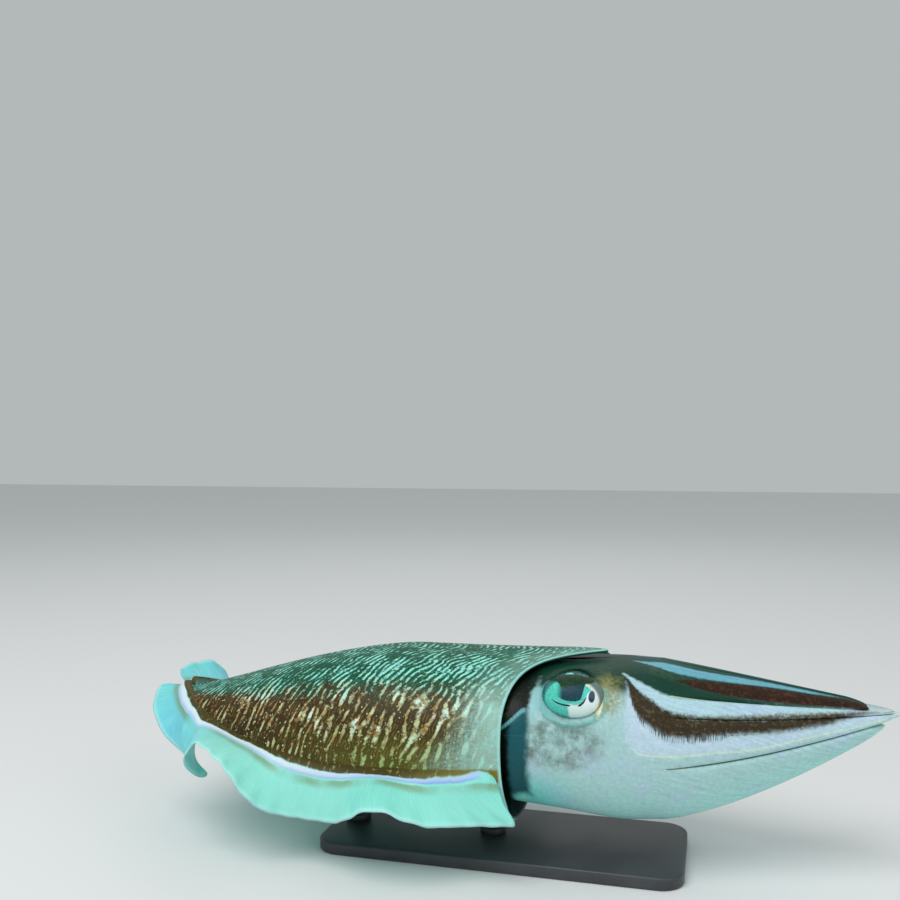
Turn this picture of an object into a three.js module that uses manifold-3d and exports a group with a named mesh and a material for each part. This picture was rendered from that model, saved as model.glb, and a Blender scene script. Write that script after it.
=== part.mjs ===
// A large male pharaoh cuttlefish, hovering level with its arms held together, on a plain display stand.
// Millimetres, +Z up, +X towards the arm tips. The origin is the middle of the stand's underside.

import * as THREE from 'three';
import Module from 'manifold-3d';
import { mergeVertices } from 'three/addons/utils/BufferGeometryUtils.js';

const wasm = await Module();
wasm.setup();

// Distances along the body run from the tail end, and heights are from the body's axis
const MANTLE_LENGTH = 310;
const HALF_WIDTH = 67;
const DOME_HEIGHT = 68;
const BELLY_DEPTH = 33;
const WIDEST_AT = 0.6;
const TAIL_SAG = 3;
const FLANK_SAG = 29;
const FLANK_RISE = 10;
const MANTLE_ROUNDNESS = 2.15;

// The mantle's open front, with a narrow tongue over the head
const MARGIN_BASE = 248.5;
const TONGUE_REACH = 61.5;
const TONGUE_SPREAD = 21;
const MARGIN_WALL = 2.4;
const POCKET_WALL = 6;
const POCKET_FLOOR = 226;

const GAP = 0.3;

// Where the body sits over its stand
const BALANCE_X = 240;
const BASE = { length: 240, depth: 96, height: 8, corner: 16, edge: 1.5 };
const CLEARANCE = 12;
const LOWEST = 77;
const LIFT = BASE.height + CLEARANCE + LOWEST;

// Head sections: distance from the tail, half width, top and bottom
const HEAD_SECTIONS = [
  [POCKET_FLOOR + GAP, 55, 25, -57],
  [245, 55, 28, -60.5],
  [265, 56, 30, -62],
  [292, 57, 32, -64],
  [318, 55, 34, -67],
  [345, 49, 34, -66],
];
const HEAD_ROUNDNESS = 2.25;
const EYE = { x: 293, y: 44, z: 17, long: 20, deep: 14, tall: 13.5 };
const EYE_SWELL = 6;

// Funnel under the head, from its root inside the mantle to its mouth
const FUNNEL = {
  root: new THREE.Vector3(240, 0, -49),
  mouth: new THREE.Vector3(318, 0, -61),
  rootRadius: 14,
  mouthRadius: 9,
  wall: 2.4,
  bore: 40,
};

// The bundle of eight arms, all held together and tapering to one point
const ARMS = {
  root: 345,
  tip: 492,
  rootHalfWidth: 49,
  rootTop: 34,
  rootBottom: -66,
  tipHeight: 9,
  tipRadius: 2,
  hollow: 0.42,
};
// Each pair's share of the bundle, in degrees from the back line, and where it ends
const ARM_PAIRS = [
  { name: 'arm_1', from: 0, to: 46, end: 470, sides: 12 },
  { name: 'arm_2', from: 46, to: 62, end: 485, sides: 12 },
  { name: 'arm_3', from: 62, to: 98, end: 489, sides: 12 },
  { name: 'arm_4', from: 98, to: 180, end: 479, sides: 18 },
];
// Suckers in two staggered rows on the inner face of each arm, smaller towards its tip
const SUCKERS = { count: 11, first: 6, last: 9, largest: 2.6, smallest: 0.7, apart: 0.42, sides: 5 };

// Fin columns from the front to the tail end: place along the root, slope at the root,
// how much the slope changes out to the edge (degrees), width, and forward drift of the edge
const FIN_RIGHT = [
  [0.0, -66, -10, 27, 27],
  [0.1, -66, -14, 28, 15],
  [0.2, -12, -14, 34, 7],
  [0.3, -58, -16, 32, 0],
  [0.4, -60, -16, 34, -4],
  [0.5, -4, -10, 36, 4],
  [0.57, 10, -10, 35, 6],
  [0.62, 12, -16, 34, 6],
  [0.67, 4, -60, 38, 10],
  [0.71, -22, -110, 42, 12],
  [0.76, -20, -110, 42, 12],
  [0.8, -46, -60, 34, 6],
  [0.86, -52, 10, 27, 0],
  [0.91, -34, 14, 24, -2],
  [0.96, -12, 14, 20, -2],
  [1.0, 24, 16, 13, 0],
];
const FIN_LEFT = [
  [0.0, -60, -10, 26, 24],
  [0.12, -66, -12, 34, 11],
  [0.25, -30, 6, 35, 0],
  [0.38, -64, -14, 36, -4],
  [0.5, -52, -10, 36, 0],
  [0.62, -8, 10, 35, 2],
  [0.72, -46, -14, 34, 0],
  [0.82, 22, 14, 30, 0],
  [0.9, 26, 14, 26, 0],
  [1.0, 24, 16, 13, 0],
];
const FIN = { rootThick: 6, edgeThick: 0.9, sunk: 5, bend: 0.2, columns: 43, end: 0.985 };

const ROD = { radius: 4, collar: 9, collarHeight: 4, sides: 14, at: [135, 232] };

const RIGHT = -1;
const LEFT = 1;

const radians = THREE.MathUtils.degToRad;
const clamp = THREE.MathUtils.clamp;
const lerp = THREE.MathUtils.lerp;

// A smooth curve through the rows of a table, read at x from the given column
function smoothColumn(table, x, column) {
  const last = table.length - 1;
  const at = clamp(x, table[0][0], table[last][0]);
  let i = 0;
  while (i < last - 1 && at >= table[i + 1][0]) i += 1;
  const slope = (k) => {
    const a = table[Math.max(k - 1, 0)];
    const b = table[Math.min(k + 1, last)];
    return (b[column] - a[column]) / (b[0] - a[0]);
  };
  const h = table[i + 1][0] - table[i][0];
  const t = (at - table[i][0]) / h;
  const rise = (3 - 2 * t) * t * t;
  const leave = t * (1 - t) * (1 - t) * h * slope(i);
  const arrive = t * t * (t - 1) * h * slope(i + 1);
  return table[i][column] * (1 - rise) + table[i + 1][column] * rise + leave + arrive;
}

// A unit rounded box: n is 2 for a circle and more for a squarer one
function roundedUnit(angle, n) {
  const c = Math.cos(angle);
  const s = Math.sin(angle);
  const r = (Math.abs(c) ** n + Math.abs(s) ** n) ** (-1 / n);
  return [r * c, r * s];
}

// Half width, height above and depth below the widest line, at a distance from the tail
function mantleSizes(x) {
  const u = clamp(x / MANTLE_LENGTH, 0, 1);
  const rear = 1 - ((WIDEST_AT - Math.min(u, WIDEST_AT)) / WIDEST_AT) ** 2;
  const front = clamp((u - WIDEST_AT) / (1 - WIDEST_AT), 0, 1);
  return {
    width: HALF_WIDTH * rear ** 0.56 * (1 - 0.12 * front ** 2),
    top: DOME_HEIGHT * rear ** 1.25 * (1 - 0.1 * front ** 2),
    bottom: BELLY_DEPTH * rear ** 0.55 * (1 + 0.62 * front),
  };
}

function widestHeight(x) {
  const u = clamp(x / MANTLE_LENGTH, 0, 1);
  const sag = Math.sin((clamp(u / 0.5, 0, 1) * Math.PI) / 2) ** 0.9;
  return -TAIL_SAG - FLANK_SAG * sag + FLANK_RISE * clamp((u - WIDEST_AT) / 0.4, 0, 1) ** 2;
}

// The front edge's distance from the tail, by the angle from the back line
function marginAt(angle) {
  const off = Math.abs(Math.atan2(Math.sin(angle - Math.PI / 2), Math.cos(angle - Math.PI / 2)));
  const tongue = Math.exp(-((off / radians(TONGUE_SPREAD)) ** 1.25));
  return MARGIN_BASE + TONGUE_REACH * tongue + 5 * clamp(off / radians(60) - 1, 0, 1);
}

function mantlePoint(x, angle, grow) {
  const { width, top, bottom } = mantleSizes(x);
  const [c, s] = roundedUnit(angle, MANTLE_ROUNDNESS);
  const tall = s >= 0 ? top : bottom;
  return new THREE.Vector3(x, c * (width + grow), s * (tall + grow) + widestHeight(x));
}

// Angles round the mantle, closer together near the back line, where the tongue is
const AROUND = 40;
function mantleAngle(j) {
  const u = (2 * j) / AROUND - 1;
  const spread = Math.sign(u) * (0.5 * Math.abs(u) + 0.5 * u * u);
  return Math.PI / 2 + Math.PI * spread;
}

function ringOf(count, pointAt) {
  return Array.from({ length: count }, (_, j) => pointAt(j));
}

function middleOf(ring) {
  return ring.reduce((sum, p) => sum.add(p), new THREE.Vector3()).divideScalar(ring.length);
}

// Flips every triangle if they face inwards
function facedOut(points, faces) {
  let volume = 0;
  for (const [a, b, c] of faces) {
    volume += points[a].dot(new THREE.Vector3().crossVectors(points[b], points[c]));
  }
  const turned = volume < 0 ? faces.map(([a, b, c]) => [a, c, b]) : faces;
  const geometry = new THREE.BufferGeometry();
  geometry.setAttribute('position', new THREE.Float32BufferAttribute(points.flatMap((p) => p.toArray()), 3));
  geometry.setIndex(turned.flat());
  return geometry;
}

// A closed skin over rings of equal count, with a middle point closing each end
function lofted(rings, firstPoint, lastPoint) {
  const count = rings[0].length;
  const points = [...rings.flat(), firstPoint ?? middleOf(rings[0]), lastPoint ?? middleOf(rings.at(-1))];
  const first = points.length - 2;
  const last = points.length - 1;
  const faces = [];
  for (let j = 0; j < count; j += 1) {
    const k = (j + 1) % count;
    faces.push([first, k, j]);
    for (let i = 0; i + 1 < rings.length; i += 1) {
      const a = i * count;
      const b = a + count;
      faces.push([a + j, a + k, b + k], [a + j, b + k, b + j]);
    }
    const end = (rings.length - 1) * count;
    faces.push([last, end + j, end + k]);
  }
  return facedOut(points, faces);
}

// A closed ring-shaped skin, whose last section meets its first
function looped(rings) {
  const count = rings[0].length;
  const faces = [];
  rings.forEach((_, i) => {
    const a = i * count;
    const b = ((i + 1) % rings.length) * count;
    for (let j = 0; j < count; j += 1) {
      const k = (j + 1) % count;
      faces.push([a + j, a + k, b + k], [a + j, b + k, b + j]);
    }
  });
  return facedOut(rings.flat(), faces);
}

function solidOf(geometry) {
  const bare = geometry.clone();
  bare.deleteAttribute('normal');
  bare.deleteAttribute('uv');
  const merged = mergeVertices(bare, 1e-4);
  const mesh = new wasm.Mesh({
    numProp: 3,
    vertProperties: new Float32Array(merged.attributes.position.array),
    triVerts: new Uint32Array(merged.index.array),
  });
  return new wasm.Manifold(mesh);
}

// The largest closed surface of a solid, as a geometry
function geometryOf(solid) {
  const largest = solid.decompose().reduce((a, b) => (b.volume() > a.volume() ? b : a));
  const mesh = largest.getMesh();
  const geometry = new THREE.BufferGeometry();
  geometry.setAttribute('position', new THREE.Float32BufferAttribute(mesh.vertProperties, 3));
  geometry.setIndex(Array.from(mesh.triVerts));
  return geometry;
}

// The mantle's outside alone, swollen by grow, closed straight across its front
function mantleOutside(grow) {
  const rings = mantleRings(grow);
  return lofted(rings, new THREE.Vector3(-grow, 0, widestHeight(0)), null);
}

const MANTLE_STEPS = 24;
function mantleRings(grow) {
  return Array.from({ length: MANTLE_STEPS }, (_, i) => {
    const s = ((i + 1) / MANTLE_STEPS) ** 1.6;
    return ringOf(AROUND, (j) => mantlePoint(marginAt(mantleAngle(j)) * s, mantleAngle(j), grow));
  });
}

// The mantle: a solid body behind, and a pocket in front that holds the neck
function mantleGeometry() {
  const inside = [0, 0.2, 0.45, 0.7, 1].map((q) =>
    ringOf(AROUND, (j) => {
      const x = lerp(marginAt(mantleAngle(j)), POCKET_FLOOR, q);
      return mantlePoint(x, mantleAngle(j), -lerp(MARGIN_WALL, POCKET_WALL, q));
    })
  );
  return lofted([...mantleRings(0), ...inside], new THREE.Vector3(0, 0, widestHeight(0)), null);
}

// The line where a fin leaves the flank; s is 0 at the front and 1 at the tail end
function finRoot(s, side) {
  const along = 0.985 * (1 - s) ** 1.55;
  const angle = radians(182 + 8 * Math.sin(Math.PI * (1 - s) ** 0.8));
  const point = mantlePoint(marginAt(angle) * along, angle, 0);
  point.y *= -side;
  return point;
}

// A point of the fin's middle sheet: v is 0 at the root and 1 at the free edge
function finPoint(table, s, v, side) {
  const step = 1e-3;
  const root = finRoot(s, side);
  const travel = finRoot(Math.min(s + step, 1), side).sub(finRoot(Math.max(s - step, 0), side));
  travel.z = 0;
  travel.normalize();
  const outward = new THREE.Vector3(-travel.y, travel.x, 0).multiplyScalar(-side);
  if (v < 0) return root.addScaledVector(outward, FIN.sunk * v);
  const [slope, curl, width, drift] = [1, 2, 3, 4].map((column) => smoothColumn(table, s, column));
  const pieces = 12;
  for (let i = 0; i < pieces; i += 1) {
    const at = (v * (i + 0.5)) / pieces;
    const bent = 1 - (1 - Math.min(at / FIN.bend, 1)) ** 2;
    const angle = radians(slope + curl * at) * bent;
    const reach = (width * v) / pieces;
    root.addScaledVector(outward, reach * Math.cos(angle));
    root.z += reach * Math.sin(angle);
  }
  return root.addScaledVector(travel, -drift * v * v);
}

// A fin as one thick sheet, with the same triangles on both faces
function finGeometry(table, side) {
  const spread = [-1, 0, 0.12, 0.3, 0.53, 0.77, 1];
  const sheet = (i, v) => finPoint(table, (FIN.end * i) / FIN.columns, v, side);
  const upper = [];
  const lower = [];
  for (let i = 0; i <= FIN.columns; i += 1) {
    spread.forEach((v) => {
      const alongS = sheet(Math.min(i + 0.5, FIN.columns), v).sub(sheet(Math.max(i - 0.5, 0), v));
      const across = sheet(i, v + 0.02).sub(sheet(i, v - 0.02));
      const normal = new THREE.Vector3().crossVectors(alongS, across).normalize();
      const half = lerp(FIN.rootThick, FIN.edgeThick, Math.max(v, 0) ** 0.6) / 2;
      const middle = sheet(i, v);
      upper.push(middle.clone().addScaledVector(normal, half));
      lower.push(middle.clone().addScaledVector(normal, -half));
    });
  }
  const rows = spread.length;
  const far = upper.length;
  const faces = [];
  for (let i = 0; i < FIN.columns; i += 1) {
    for (let j = 0; j + 1 < rows; j += 1) {
      const a = i * rows + j;
      const b = a + rows;
      faces.push([a, b, b + 1], [a, b + 1, a + 1]);
      faces.push([far + a, far + b + 1, far + b], [far + a, far + a + 1, far + b + 1]);
    }
    const inner = i * rows;
    const outer = inner + rows - 1;
    faces.push([inner, far + inner, far + inner + rows], [inner, far + inner + rows, inner + rows]);
    faces.push([outer, outer + rows, far + outer + rows], [outer, far + outer + rows, far + outer]);
  }
  for (let j = 0; j + 1 < rows; j += 1) {
    const end = FIN.columns * rows + j;
    faces.push([j, j + 1, far + j + 1], [j, far + j + 1, far + j]);
    faces.push([end, far + end, far + end + 1], [end, far + end + 1, end + 1]);
  }
  const solid = solidOf(facedOut([...upper, ...lower], faces));
  return geometryOf(solid.subtract(solidOf(mantleOutside(GAP))));
}

function headSizes(x) {
  const [width, top, bottom] = [1, 2, 3].map((column) => smoothColumn(HEAD_SECTIONS, x, column));
  return { width, middle: (top + bottom) / 2, half: (top - bottom) / 2 };
}

// How far the head reaches sideways from c, its rounded share, swelling round each eye
function headReach(x, z, c) {
  const near = Math.exp(-(((x - EYE.x) / 27) ** 2) - ((z - EYE.z) / 21) ** 2);
  return c * headSizes(x).width + EYE_SWELL * near * c ** 0.5;
}

function headPoint(x, angle) {
  const { middle, half } = headSizes(x);
  const [c, s] = roundedUnit(angle, HEAD_ROUNDNESS);
  const z = middle + s * half;
  return new THREE.Vector3(x, Math.sign(c) * headReach(x, z, Math.abs(c)), z);
}

// The head's half width at a place seen from the side
function headSide(x, z) {
  const { middle, half } = headSizes(x);
  const s = Math.min(Math.abs(z - middle) / half, 1);
  return headReach(x, z, (1 - s ** HEAD_ROUNDNESS) ** (1 / HEAD_ROUNDNESS));
}

// An eyeball, long from front to back, swollen by grow
function eyeball(side, grow) {
  const ball = new THREE.SphereGeometry(1, 18, 11);
  ball.scale(EYE.long + grow, EYE.deep + grow, EYE.tall + grow);
  ball.translate(EYE.x, side * EYE.y, EYE.z);
  return ball;
}

// The lids: one fold all round the eye, thick above and thin below
function lids(side) {
  const around = 26;
  const ringAt = (i) => {
    const turn = (2 * Math.PI * i) / around;
    const above = clamp(Math.sin(turn), 0, 1);
    const thick = lerp(1.8, 3.4, above);
    const x = EYE.x + Math.cos(turn) * (EYE.long + 0.5);
    const z = EYE.z + Math.sin(turn) * (EYE.tall + 0.5) - 1.5 * above;
    const out = headSide(x, z) - 0.8;
    return ringOf(6, (j) => {
      const a = (2 * Math.PI * j) / 6;
      const reach = 1 + (Math.cos(a) * thick) / EYE.long;
      return new THREE.Vector3(
        EYE.x + (x - EYE.x) * reach,
        side * (out + Math.sin(a) * thick),
        EYE.z + (z - EYE.z) * reach
      );
    });
  };
  return looped(Array.from({ length: around }, (_, i) => ringAt(i)));
}

// The funnel's outside, swollen by grow, and its bore
function funnelRings(inset, back) {
  const axis = FUNNEL.mouth.clone().sub(FUNNEL.root);
  const length = axis.length();
  axis.normalize();
  const up = new THREE.Vector3(-axis.z, 0, axis.x);
  const aside = new THREE.Vector3(0, 1, 0);
  return (t, extra = 0) => {
    const radius = lerp(FUNNEL.rootRadius, FUNNEL.mouthRadius, t ** 0.8) - inset + extra;
    const centre = FUNNEL.root.clone().addScaledVector(axis, lerp(back, length, t));
    return ringOf(20, (j) => {
      const a = (2 * Math.PI * j) / 20;
      return centre
        .clone()
        .addScaledVector(aside, 1.15 * radius * Math.cos(a))
        .addScaledVector(up, radius * Math.sin(a));
    });
  };
}

function funnelOutside(grow) {
  const ring = funnelRings(-grow, -grow);
  return lofted([0, 0.25, 0.5, 0.75, 1].map((t) => ring(t)), null, null);
}

function funnelGeometry() {
  const outer = funnelRings(0, 0);
  const inner = funnelRings(FUNNEL.wall, 0);
  const wallFrom = 1 - FUNNEL.bore / FUNNEL.mouth.distanceTo(FUNNEL.root);
  const outside = [0, 0.25, 0.5, 0.75, 1].map((t) => outer(t));
  const bore = [1, 0.85, lerp(wallFrom, 1, 0.3), wallFrom].map((t) => inner(t));
  return lofted([...outside, ...bore], null, null);
}

function headGeometry() {
  const steps = 17;
  const around = 30;
  const start = HEAD_SECTIONS[0][0];
  const rings = Array.from({ length: steps + 1 }, (_, i) =>
    ringOf(around, (j) => headPoint(lerp(start, ARMS.root, i / steps), (2 * Math.PI * (j + 0.5)) / around))
  );
  let head = solidOf(lofted(rings, null, null));
  for (const side of [RIGHT, LEFT]) {
    head = head.add(solidOf(lids(side)));
    head = head.subtract(solidOf(eyeball(side, GAP)));
  }
  head = head.subtract(solidOf(funnelOutside(GAP)));
  return geometryOf(head);
}

// Half width, top and bottom of the whole bundle of arms
function bundleAt(x) {
  const t = clamp((x - ARMS.root) / (ARMS.tip - ARMS.root), 0, 1);
  const top = lerp(ARMS.rootTop, ARMS.tipHeight + ARMS.tipRadius, t ** 1.05);
  const bottom = lerp(ARMS.rootBottom, ARMS.tipHeight - ARMS.tipRadius, t ** 1.4);
  return { width: (ARMS.rootHalfWidth - ARMS.tipRadius) * (1 - t) ** 0.8 + ARMS.tipRadius, top, bottom };
}

// A point of the bundle: turn is measured from the back line, depth is 1 on the outside
function bundlePoint(x, turn, depth, side) {
  const { width, top, bottom } = bundleAt(x);
  const [c, s] = roundedUnit(Math.PI / 2 - turn, HEAD_ROUNDNESS);
  return new THREE.Vector3(x, side * depth * c * width, (top + bottom) / 2 + (depth * s * (top - bottom)) / 2);
}

// A sucker on an arm's inner face: a short cup that leans towards the middle of the bundle
function suckerGeometry(pair, side, k) {
  const t = k / (SUCKERS.count - 1);
  const x = lerp(ARMS.root + SUCKERS.first, pair.end - SUCKERS.last, t ** 0.9);
  const half = radians((pair.to - pair.from) / 2);
  const turn = half + radians(pair.from) + half * SUCKERS.apart * (k % 2 ? 1 : -1);
  const floor = bundlePoint(x, turn, ARMS.hollow, side);
  const inward = bundlePoint(x, turn, 0, side).sub(floor);
  const room = inward.length();
  inward.normalize();
  const size = Math.min(lerp(SUCKERS.largest, SUCKERS.smallest, t), 0.52 * half * room);
  const along = new THREE.Vector3(1, 0, 0);
  const across = new THREE.Vector3().crossVectors(along, inward);
  const ringAt = (height, radius) =>
    ringOf(SUCKERS.sides, (j) => {
      const a = (2 * Math.PI * (j + 0.5)) / SUCKERS.sides;
      return floor
        .clone()
        .addScaledVector(inward, height)
        .addScaledVector(along, radius * Math.cos(a))
        .addScaledVector(across, radius * Math.sin(a));
    });
  const cup = floor.clone().addScaledVector(inward, 0.35 * size);
  return lofted([ringAt(-0.9 * size, 0.75 * size), ringAt(0.75 * size, size)], null, cup);
}

// One arm: a rounded wedge of the bundle, closing to its own tip
function armGeometry(pair, side) {
  const steps = 17;
  const middle = radians((pair.from + pair.to) / 2);
  const rings = Array.from({ length: steps }, (_, i) => {
    const t = i / steps;
    const x = lerp(ARMS.root + GAP, pair.end, 1 - (1 - t) ** 1.35);
    const close = Math.sqrt(1 - clamp((x - pair.end + 14) / 14, 0, 1) ** 2);
    const { width, top, bottom } = bundleAt(x);
    const mean = (width + (top - bottom) / 2) / 2;
    return ringOf(pair.sides, (j) => {
      const [c, s] = roundedUnit((2 * Math.PI * (j + 0.5)) / pair.sides, 3.6);
      const depth = lerp(ARMS.hollow, 1, 0.5 + 0.5 * s * close);
      const half = radians((pair.to - pair.from) / 2) - GAP / 2 / (mean * depth);
      return bundlePoint(x, middle + half * c * close, depth, side);
    });
  });
  const tip = bundlePoint(pair.end, middle, (1 + ARMS.hollow) / 2, side);
  const suckers = Array.from({ length: SUCKERS.count }, (_, k) => solidOf(suckerGeometry(pair, side, k)));
  return geometryOf(suckers.reduce((arm, sucker) => arm.add(sucker), solidOf(lofted(rings, null, tip))));
}

// The stand's plate, with rounded corners and a small edge
function baseGeometry() {
  const { length, depth, height, corner, edge } = BASE;
  const outline = new THREE.Shape();
  const x = length / 2 - edge;
  const y = depth / 2 - edge;
  outline.moveTo(-x + corner, -y);
  outline.lineTo(x - corner, -y);
  outline.absarc(x - corner, -y + corner, corner, -Math.PI / 2, 0, false);
  outline.lineTo(x, y - corner);
  outline.absarc(x - corner, y - corner, corner, 0, Math.PI / 2, false);
  outline.lineTo(-x + corner, y);
  outline.absarc(-x + corner, y - corner, corner, Math.PI / 2, Math.PI, false);
  outline.lineTo(-x, -y + corner);
  outline.absarc(-x + corner, -y + corner, corner, Math.PI, 1.5 * Math.PI, false);
  const plate = new THREE.ExtrudeGeometry(outline, {
    depth: height - 2 * edge,
    bevelThickness: edge,
    bevelSize: edge,
    bevelSegments: 1,
    curveSegments: 5,
  });
  plate.translate(0, 0, edge);
  return plate;
}

// A rod with a collar on the plate, cut to the belly above it
function rodGeometry(at) {
  const floor = BASE.height + GAP - LIFT;
  const profile = [
    [0, floor],
    [ROD.collar, floor],
    [ROD.collar, floor + ROD.collarHeight - 1],
    [ROD.collar - 1, floor + ROD.collarHeight],
    [ROD.radius, floor + ROD.collarHeight],
    [ROD.radius, 0],
    [0, 0],
  ].map(([r, z]) => new THREE.Vector2(r, z));
  const rod = new THREE.LatheGeometry(profile, ROD.sides);
  rod.rotateX(Math.PI / 2);
  rod.translate(at, 0, 0);
  return geometryOf(solidOf(rod).subtract(solidOf(mantleOutside(GAP))));
}

// Finishes: colour, roughness and metalness of each kind of surface
const FINISHES = {
  mantle: [0x4a4a2c, 0.45, 0],
  fin: [0xa9d8cf, 0.35, 0],
  head: [0x6f7464, 0.45, 0],
  eye: [0x9fc9c4, 0.12, 0],
  funnel: [0x4f7468, 0.45, 0],
  arm: [0x9db5ad, 0.45, 0],
  stand: [0x2b2d2f, 0.35, 0],
};

function piece(name, finish, geometry) {
  const [color, roughness, metalness] = FINISHES[finish];
  const mesh = new THREE.Mesh(geometry, new THREE.MeshStandardMaterial({ color, roughness, metalness }));
  mesh.name = name;
  return mesh;
}

const body = new THREE.Group();
body.position.set(-BALANCE_X, 0, LIFT);
body.add(piece('mantle', 'mantle', mantleGeometry()));
body.add(piece('fin_right', 'fin', finGeometry(FIN_RIGHT, RIGHT)));
body.add(piece('fin_left', 'fin', finGeometry(FIN_LEFT, LEFT)));
body.add(piece('head', 'head', headGeometry()));
body.add(piece('eye_right', 'eye', eyeball(RIGHT, 0)));
body.add(piece('eye_left', 'eye', eyeball(LEFT, 0)));
body.add(piece('funnel', 'funnel', funnelGeometry()));
for (const pair of ARM_PAIRS) {
  body.add(piece(`${pair.name}_right`, 'arm', armGeometry(pair, RIGHT)));
  body.add(piece(`${pair.name}_left`, 'arm', armGeometry(pair, LEFT)));
}
body.add(piece('stand_rod_rear', 'stand', rodGeometry(ROD.at[0])));
body.add(piece('stand_rod_front', 'stand', rodGeometry(ROD.at[1])));

const cuttlefish = new THREE.Group();
cuttlefish.add(body);
cuttlefish.add(piece('stand_base', 'stand', baseGeometry()));

export default cuttlefish;
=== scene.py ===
"""A large pharaoh cuttlefish on its display stand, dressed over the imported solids.

Lengths inside the shape classes are millimetres in the body's own axes: x from the tail end
towards the arm tips, y to the animal's left, and z up from the body's axis.
"""

import logging
import math
from dataclasses import dataclass, field
from enum import Enum
from functools import cached_property
from typing import Sequence

import bpy
import numpy as np
from mathutils import Matrix, Vector


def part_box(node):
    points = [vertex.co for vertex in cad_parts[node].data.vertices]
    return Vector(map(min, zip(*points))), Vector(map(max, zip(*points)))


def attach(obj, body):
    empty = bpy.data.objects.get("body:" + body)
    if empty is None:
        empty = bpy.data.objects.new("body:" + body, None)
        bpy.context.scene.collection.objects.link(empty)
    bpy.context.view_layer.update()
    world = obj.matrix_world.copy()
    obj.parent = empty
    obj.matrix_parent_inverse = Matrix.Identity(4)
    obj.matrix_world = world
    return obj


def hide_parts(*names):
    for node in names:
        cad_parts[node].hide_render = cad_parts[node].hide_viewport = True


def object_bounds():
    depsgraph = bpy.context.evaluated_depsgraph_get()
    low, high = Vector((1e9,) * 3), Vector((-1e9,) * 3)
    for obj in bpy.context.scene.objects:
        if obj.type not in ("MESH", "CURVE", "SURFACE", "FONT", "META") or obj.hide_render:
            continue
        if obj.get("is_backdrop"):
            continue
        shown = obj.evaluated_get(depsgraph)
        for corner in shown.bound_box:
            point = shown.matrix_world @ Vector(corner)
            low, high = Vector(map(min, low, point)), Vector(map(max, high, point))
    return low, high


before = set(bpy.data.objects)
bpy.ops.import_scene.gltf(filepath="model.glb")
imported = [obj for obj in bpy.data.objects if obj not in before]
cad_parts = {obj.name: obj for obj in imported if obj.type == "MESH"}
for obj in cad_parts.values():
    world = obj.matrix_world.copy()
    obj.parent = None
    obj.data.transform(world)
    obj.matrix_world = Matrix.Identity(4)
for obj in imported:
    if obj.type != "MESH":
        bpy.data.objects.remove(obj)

CAD_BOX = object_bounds()
MM = 0.001
CM_PER_MM = 0.1
FLOAT = "NodeSocketFloat"
WELD_M = 3e-6
# The fins' roots on the mantle: the share of its length that they reach, how they crowd towards
# the tail end, their turn from the back line, how far it rises midway, and the rise's shape
ROOT_END = 0.985
ROOT_EASE = 1.55
ROOT_TURN = 92
ROOT_RISE = 8
ROOT_BOW = 0.8
log = logging.getLogger("cuttlefish")

Array = np.ndarray
Piece = bpy.types.Object
Material = bpy.types.Material
Tree = bpy.types.NodeTree
Node = bpy.types.Node
Socket = bpy.types.NodeSocket
Value = float | Sequence[float] | Socket
Colour = tuple[int, int, int]
Path = Sequence[tuple[float, float]]


class Side(Enum):
    """The animal's own right and left; the value is the sign of y."""

    RIGHT = -1
    LEFT = 1


def smoothstep(low: float, high: float, value: Array) -> Array:
    """A soft step from 0 at low to 1 at high, which may be below low."""
    t = np.clip((value - low) / (high - low), 0, 1)
    return t * t * (3 - 2 * t)


def smooth_column(table: Array, x: Array, column: int) -> Array:
    """A smooth curve through one column of a table.

    Args:
        table: Rows of a place followed by its values.
        x: The places to read the curve at.
        column: Which value to read.

    Returns:
        The curve's value at each place.
    """
    xs, ys = table[:, 0], table[:, column]
    rows = np.arange(len(xs))
    before, after = np.maximum(rows - 1, 0), np.minimum(rows + 1, len(xs) - 1)
    slope = (ys[after] - ys[before]) / (xs[after] - xs[before])
    x = np.clip(x, xs[0], xs[-1])
    i = np.clip(np.searchsorted(xs, x, side="right") - 1, 0, len(xs) - 2)
    h = xs[i + 1] - xs[i]
    t = (x - xs[i]) / h
    rise = (3 - 2 * t) * t * t
    leave = t * (1 - t) ** 2 * h * slope[i]
    arrive = t * t * (t - 1) * h * slope[i + 1]
    return ys[i] * (1 - rise) + ys[i + 1] * rise + leave + arrive


def path_height(path: Path, x: Array) -> Array:
    """A smooth curve through a path's points, read at x."""
    return smooth_column(np.array(path, float), x, 1)


def rounded_unit(angle: Array, power: float) -> tuple[Array, Array]:
    """A unit rounded box, which is a circle at power 2 and squarer above it.

    Args:
        angle: Angles in radians.
        power: How square the outline is.

    Returns:
        The outline's two coordinates at each angle.
    """
    c, s = np.cos(angle), np.sin(angle)
    r = (np.abs(c) ** power + np.abs(s) ** power) ** (-1 / power)
    return r * c, r * s


def bell(value: Array, middle: Array | float, spread: float) -> Array:
    """A smooth bump of height 1 about a middle."""
    return np.exp(-(((value - middle) / spread) ** 2))


def lerp(a: float, b: float, share: Array) -> Array:
    """The value at a share of the way from a to b."""
    return a + (b - a) * share


@dataclass(frozen=True)
class BodyAxes:
    """Where the body's own axes lie in the row frame, in metres."""

    tail_x: float
    axis_z: float

    @classmethod
    def of_frame(cls) -> "BodyAxes":
        """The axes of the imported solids, from the mantle's tail end and the eye's middle.

        Returns:
            The axes.
        """
        tail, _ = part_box("mantle")
        low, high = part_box("eye_right")
        return cls(tail.x, (low.z + high.z) / 2 - HeadForm().eye_z * MM)

    def place(self, points: Array) -> Array:
        """Body points in millimetres as row points in metres."""
        return points * MM + np.array([self.tail_x, 0, self.axis_z])


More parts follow.
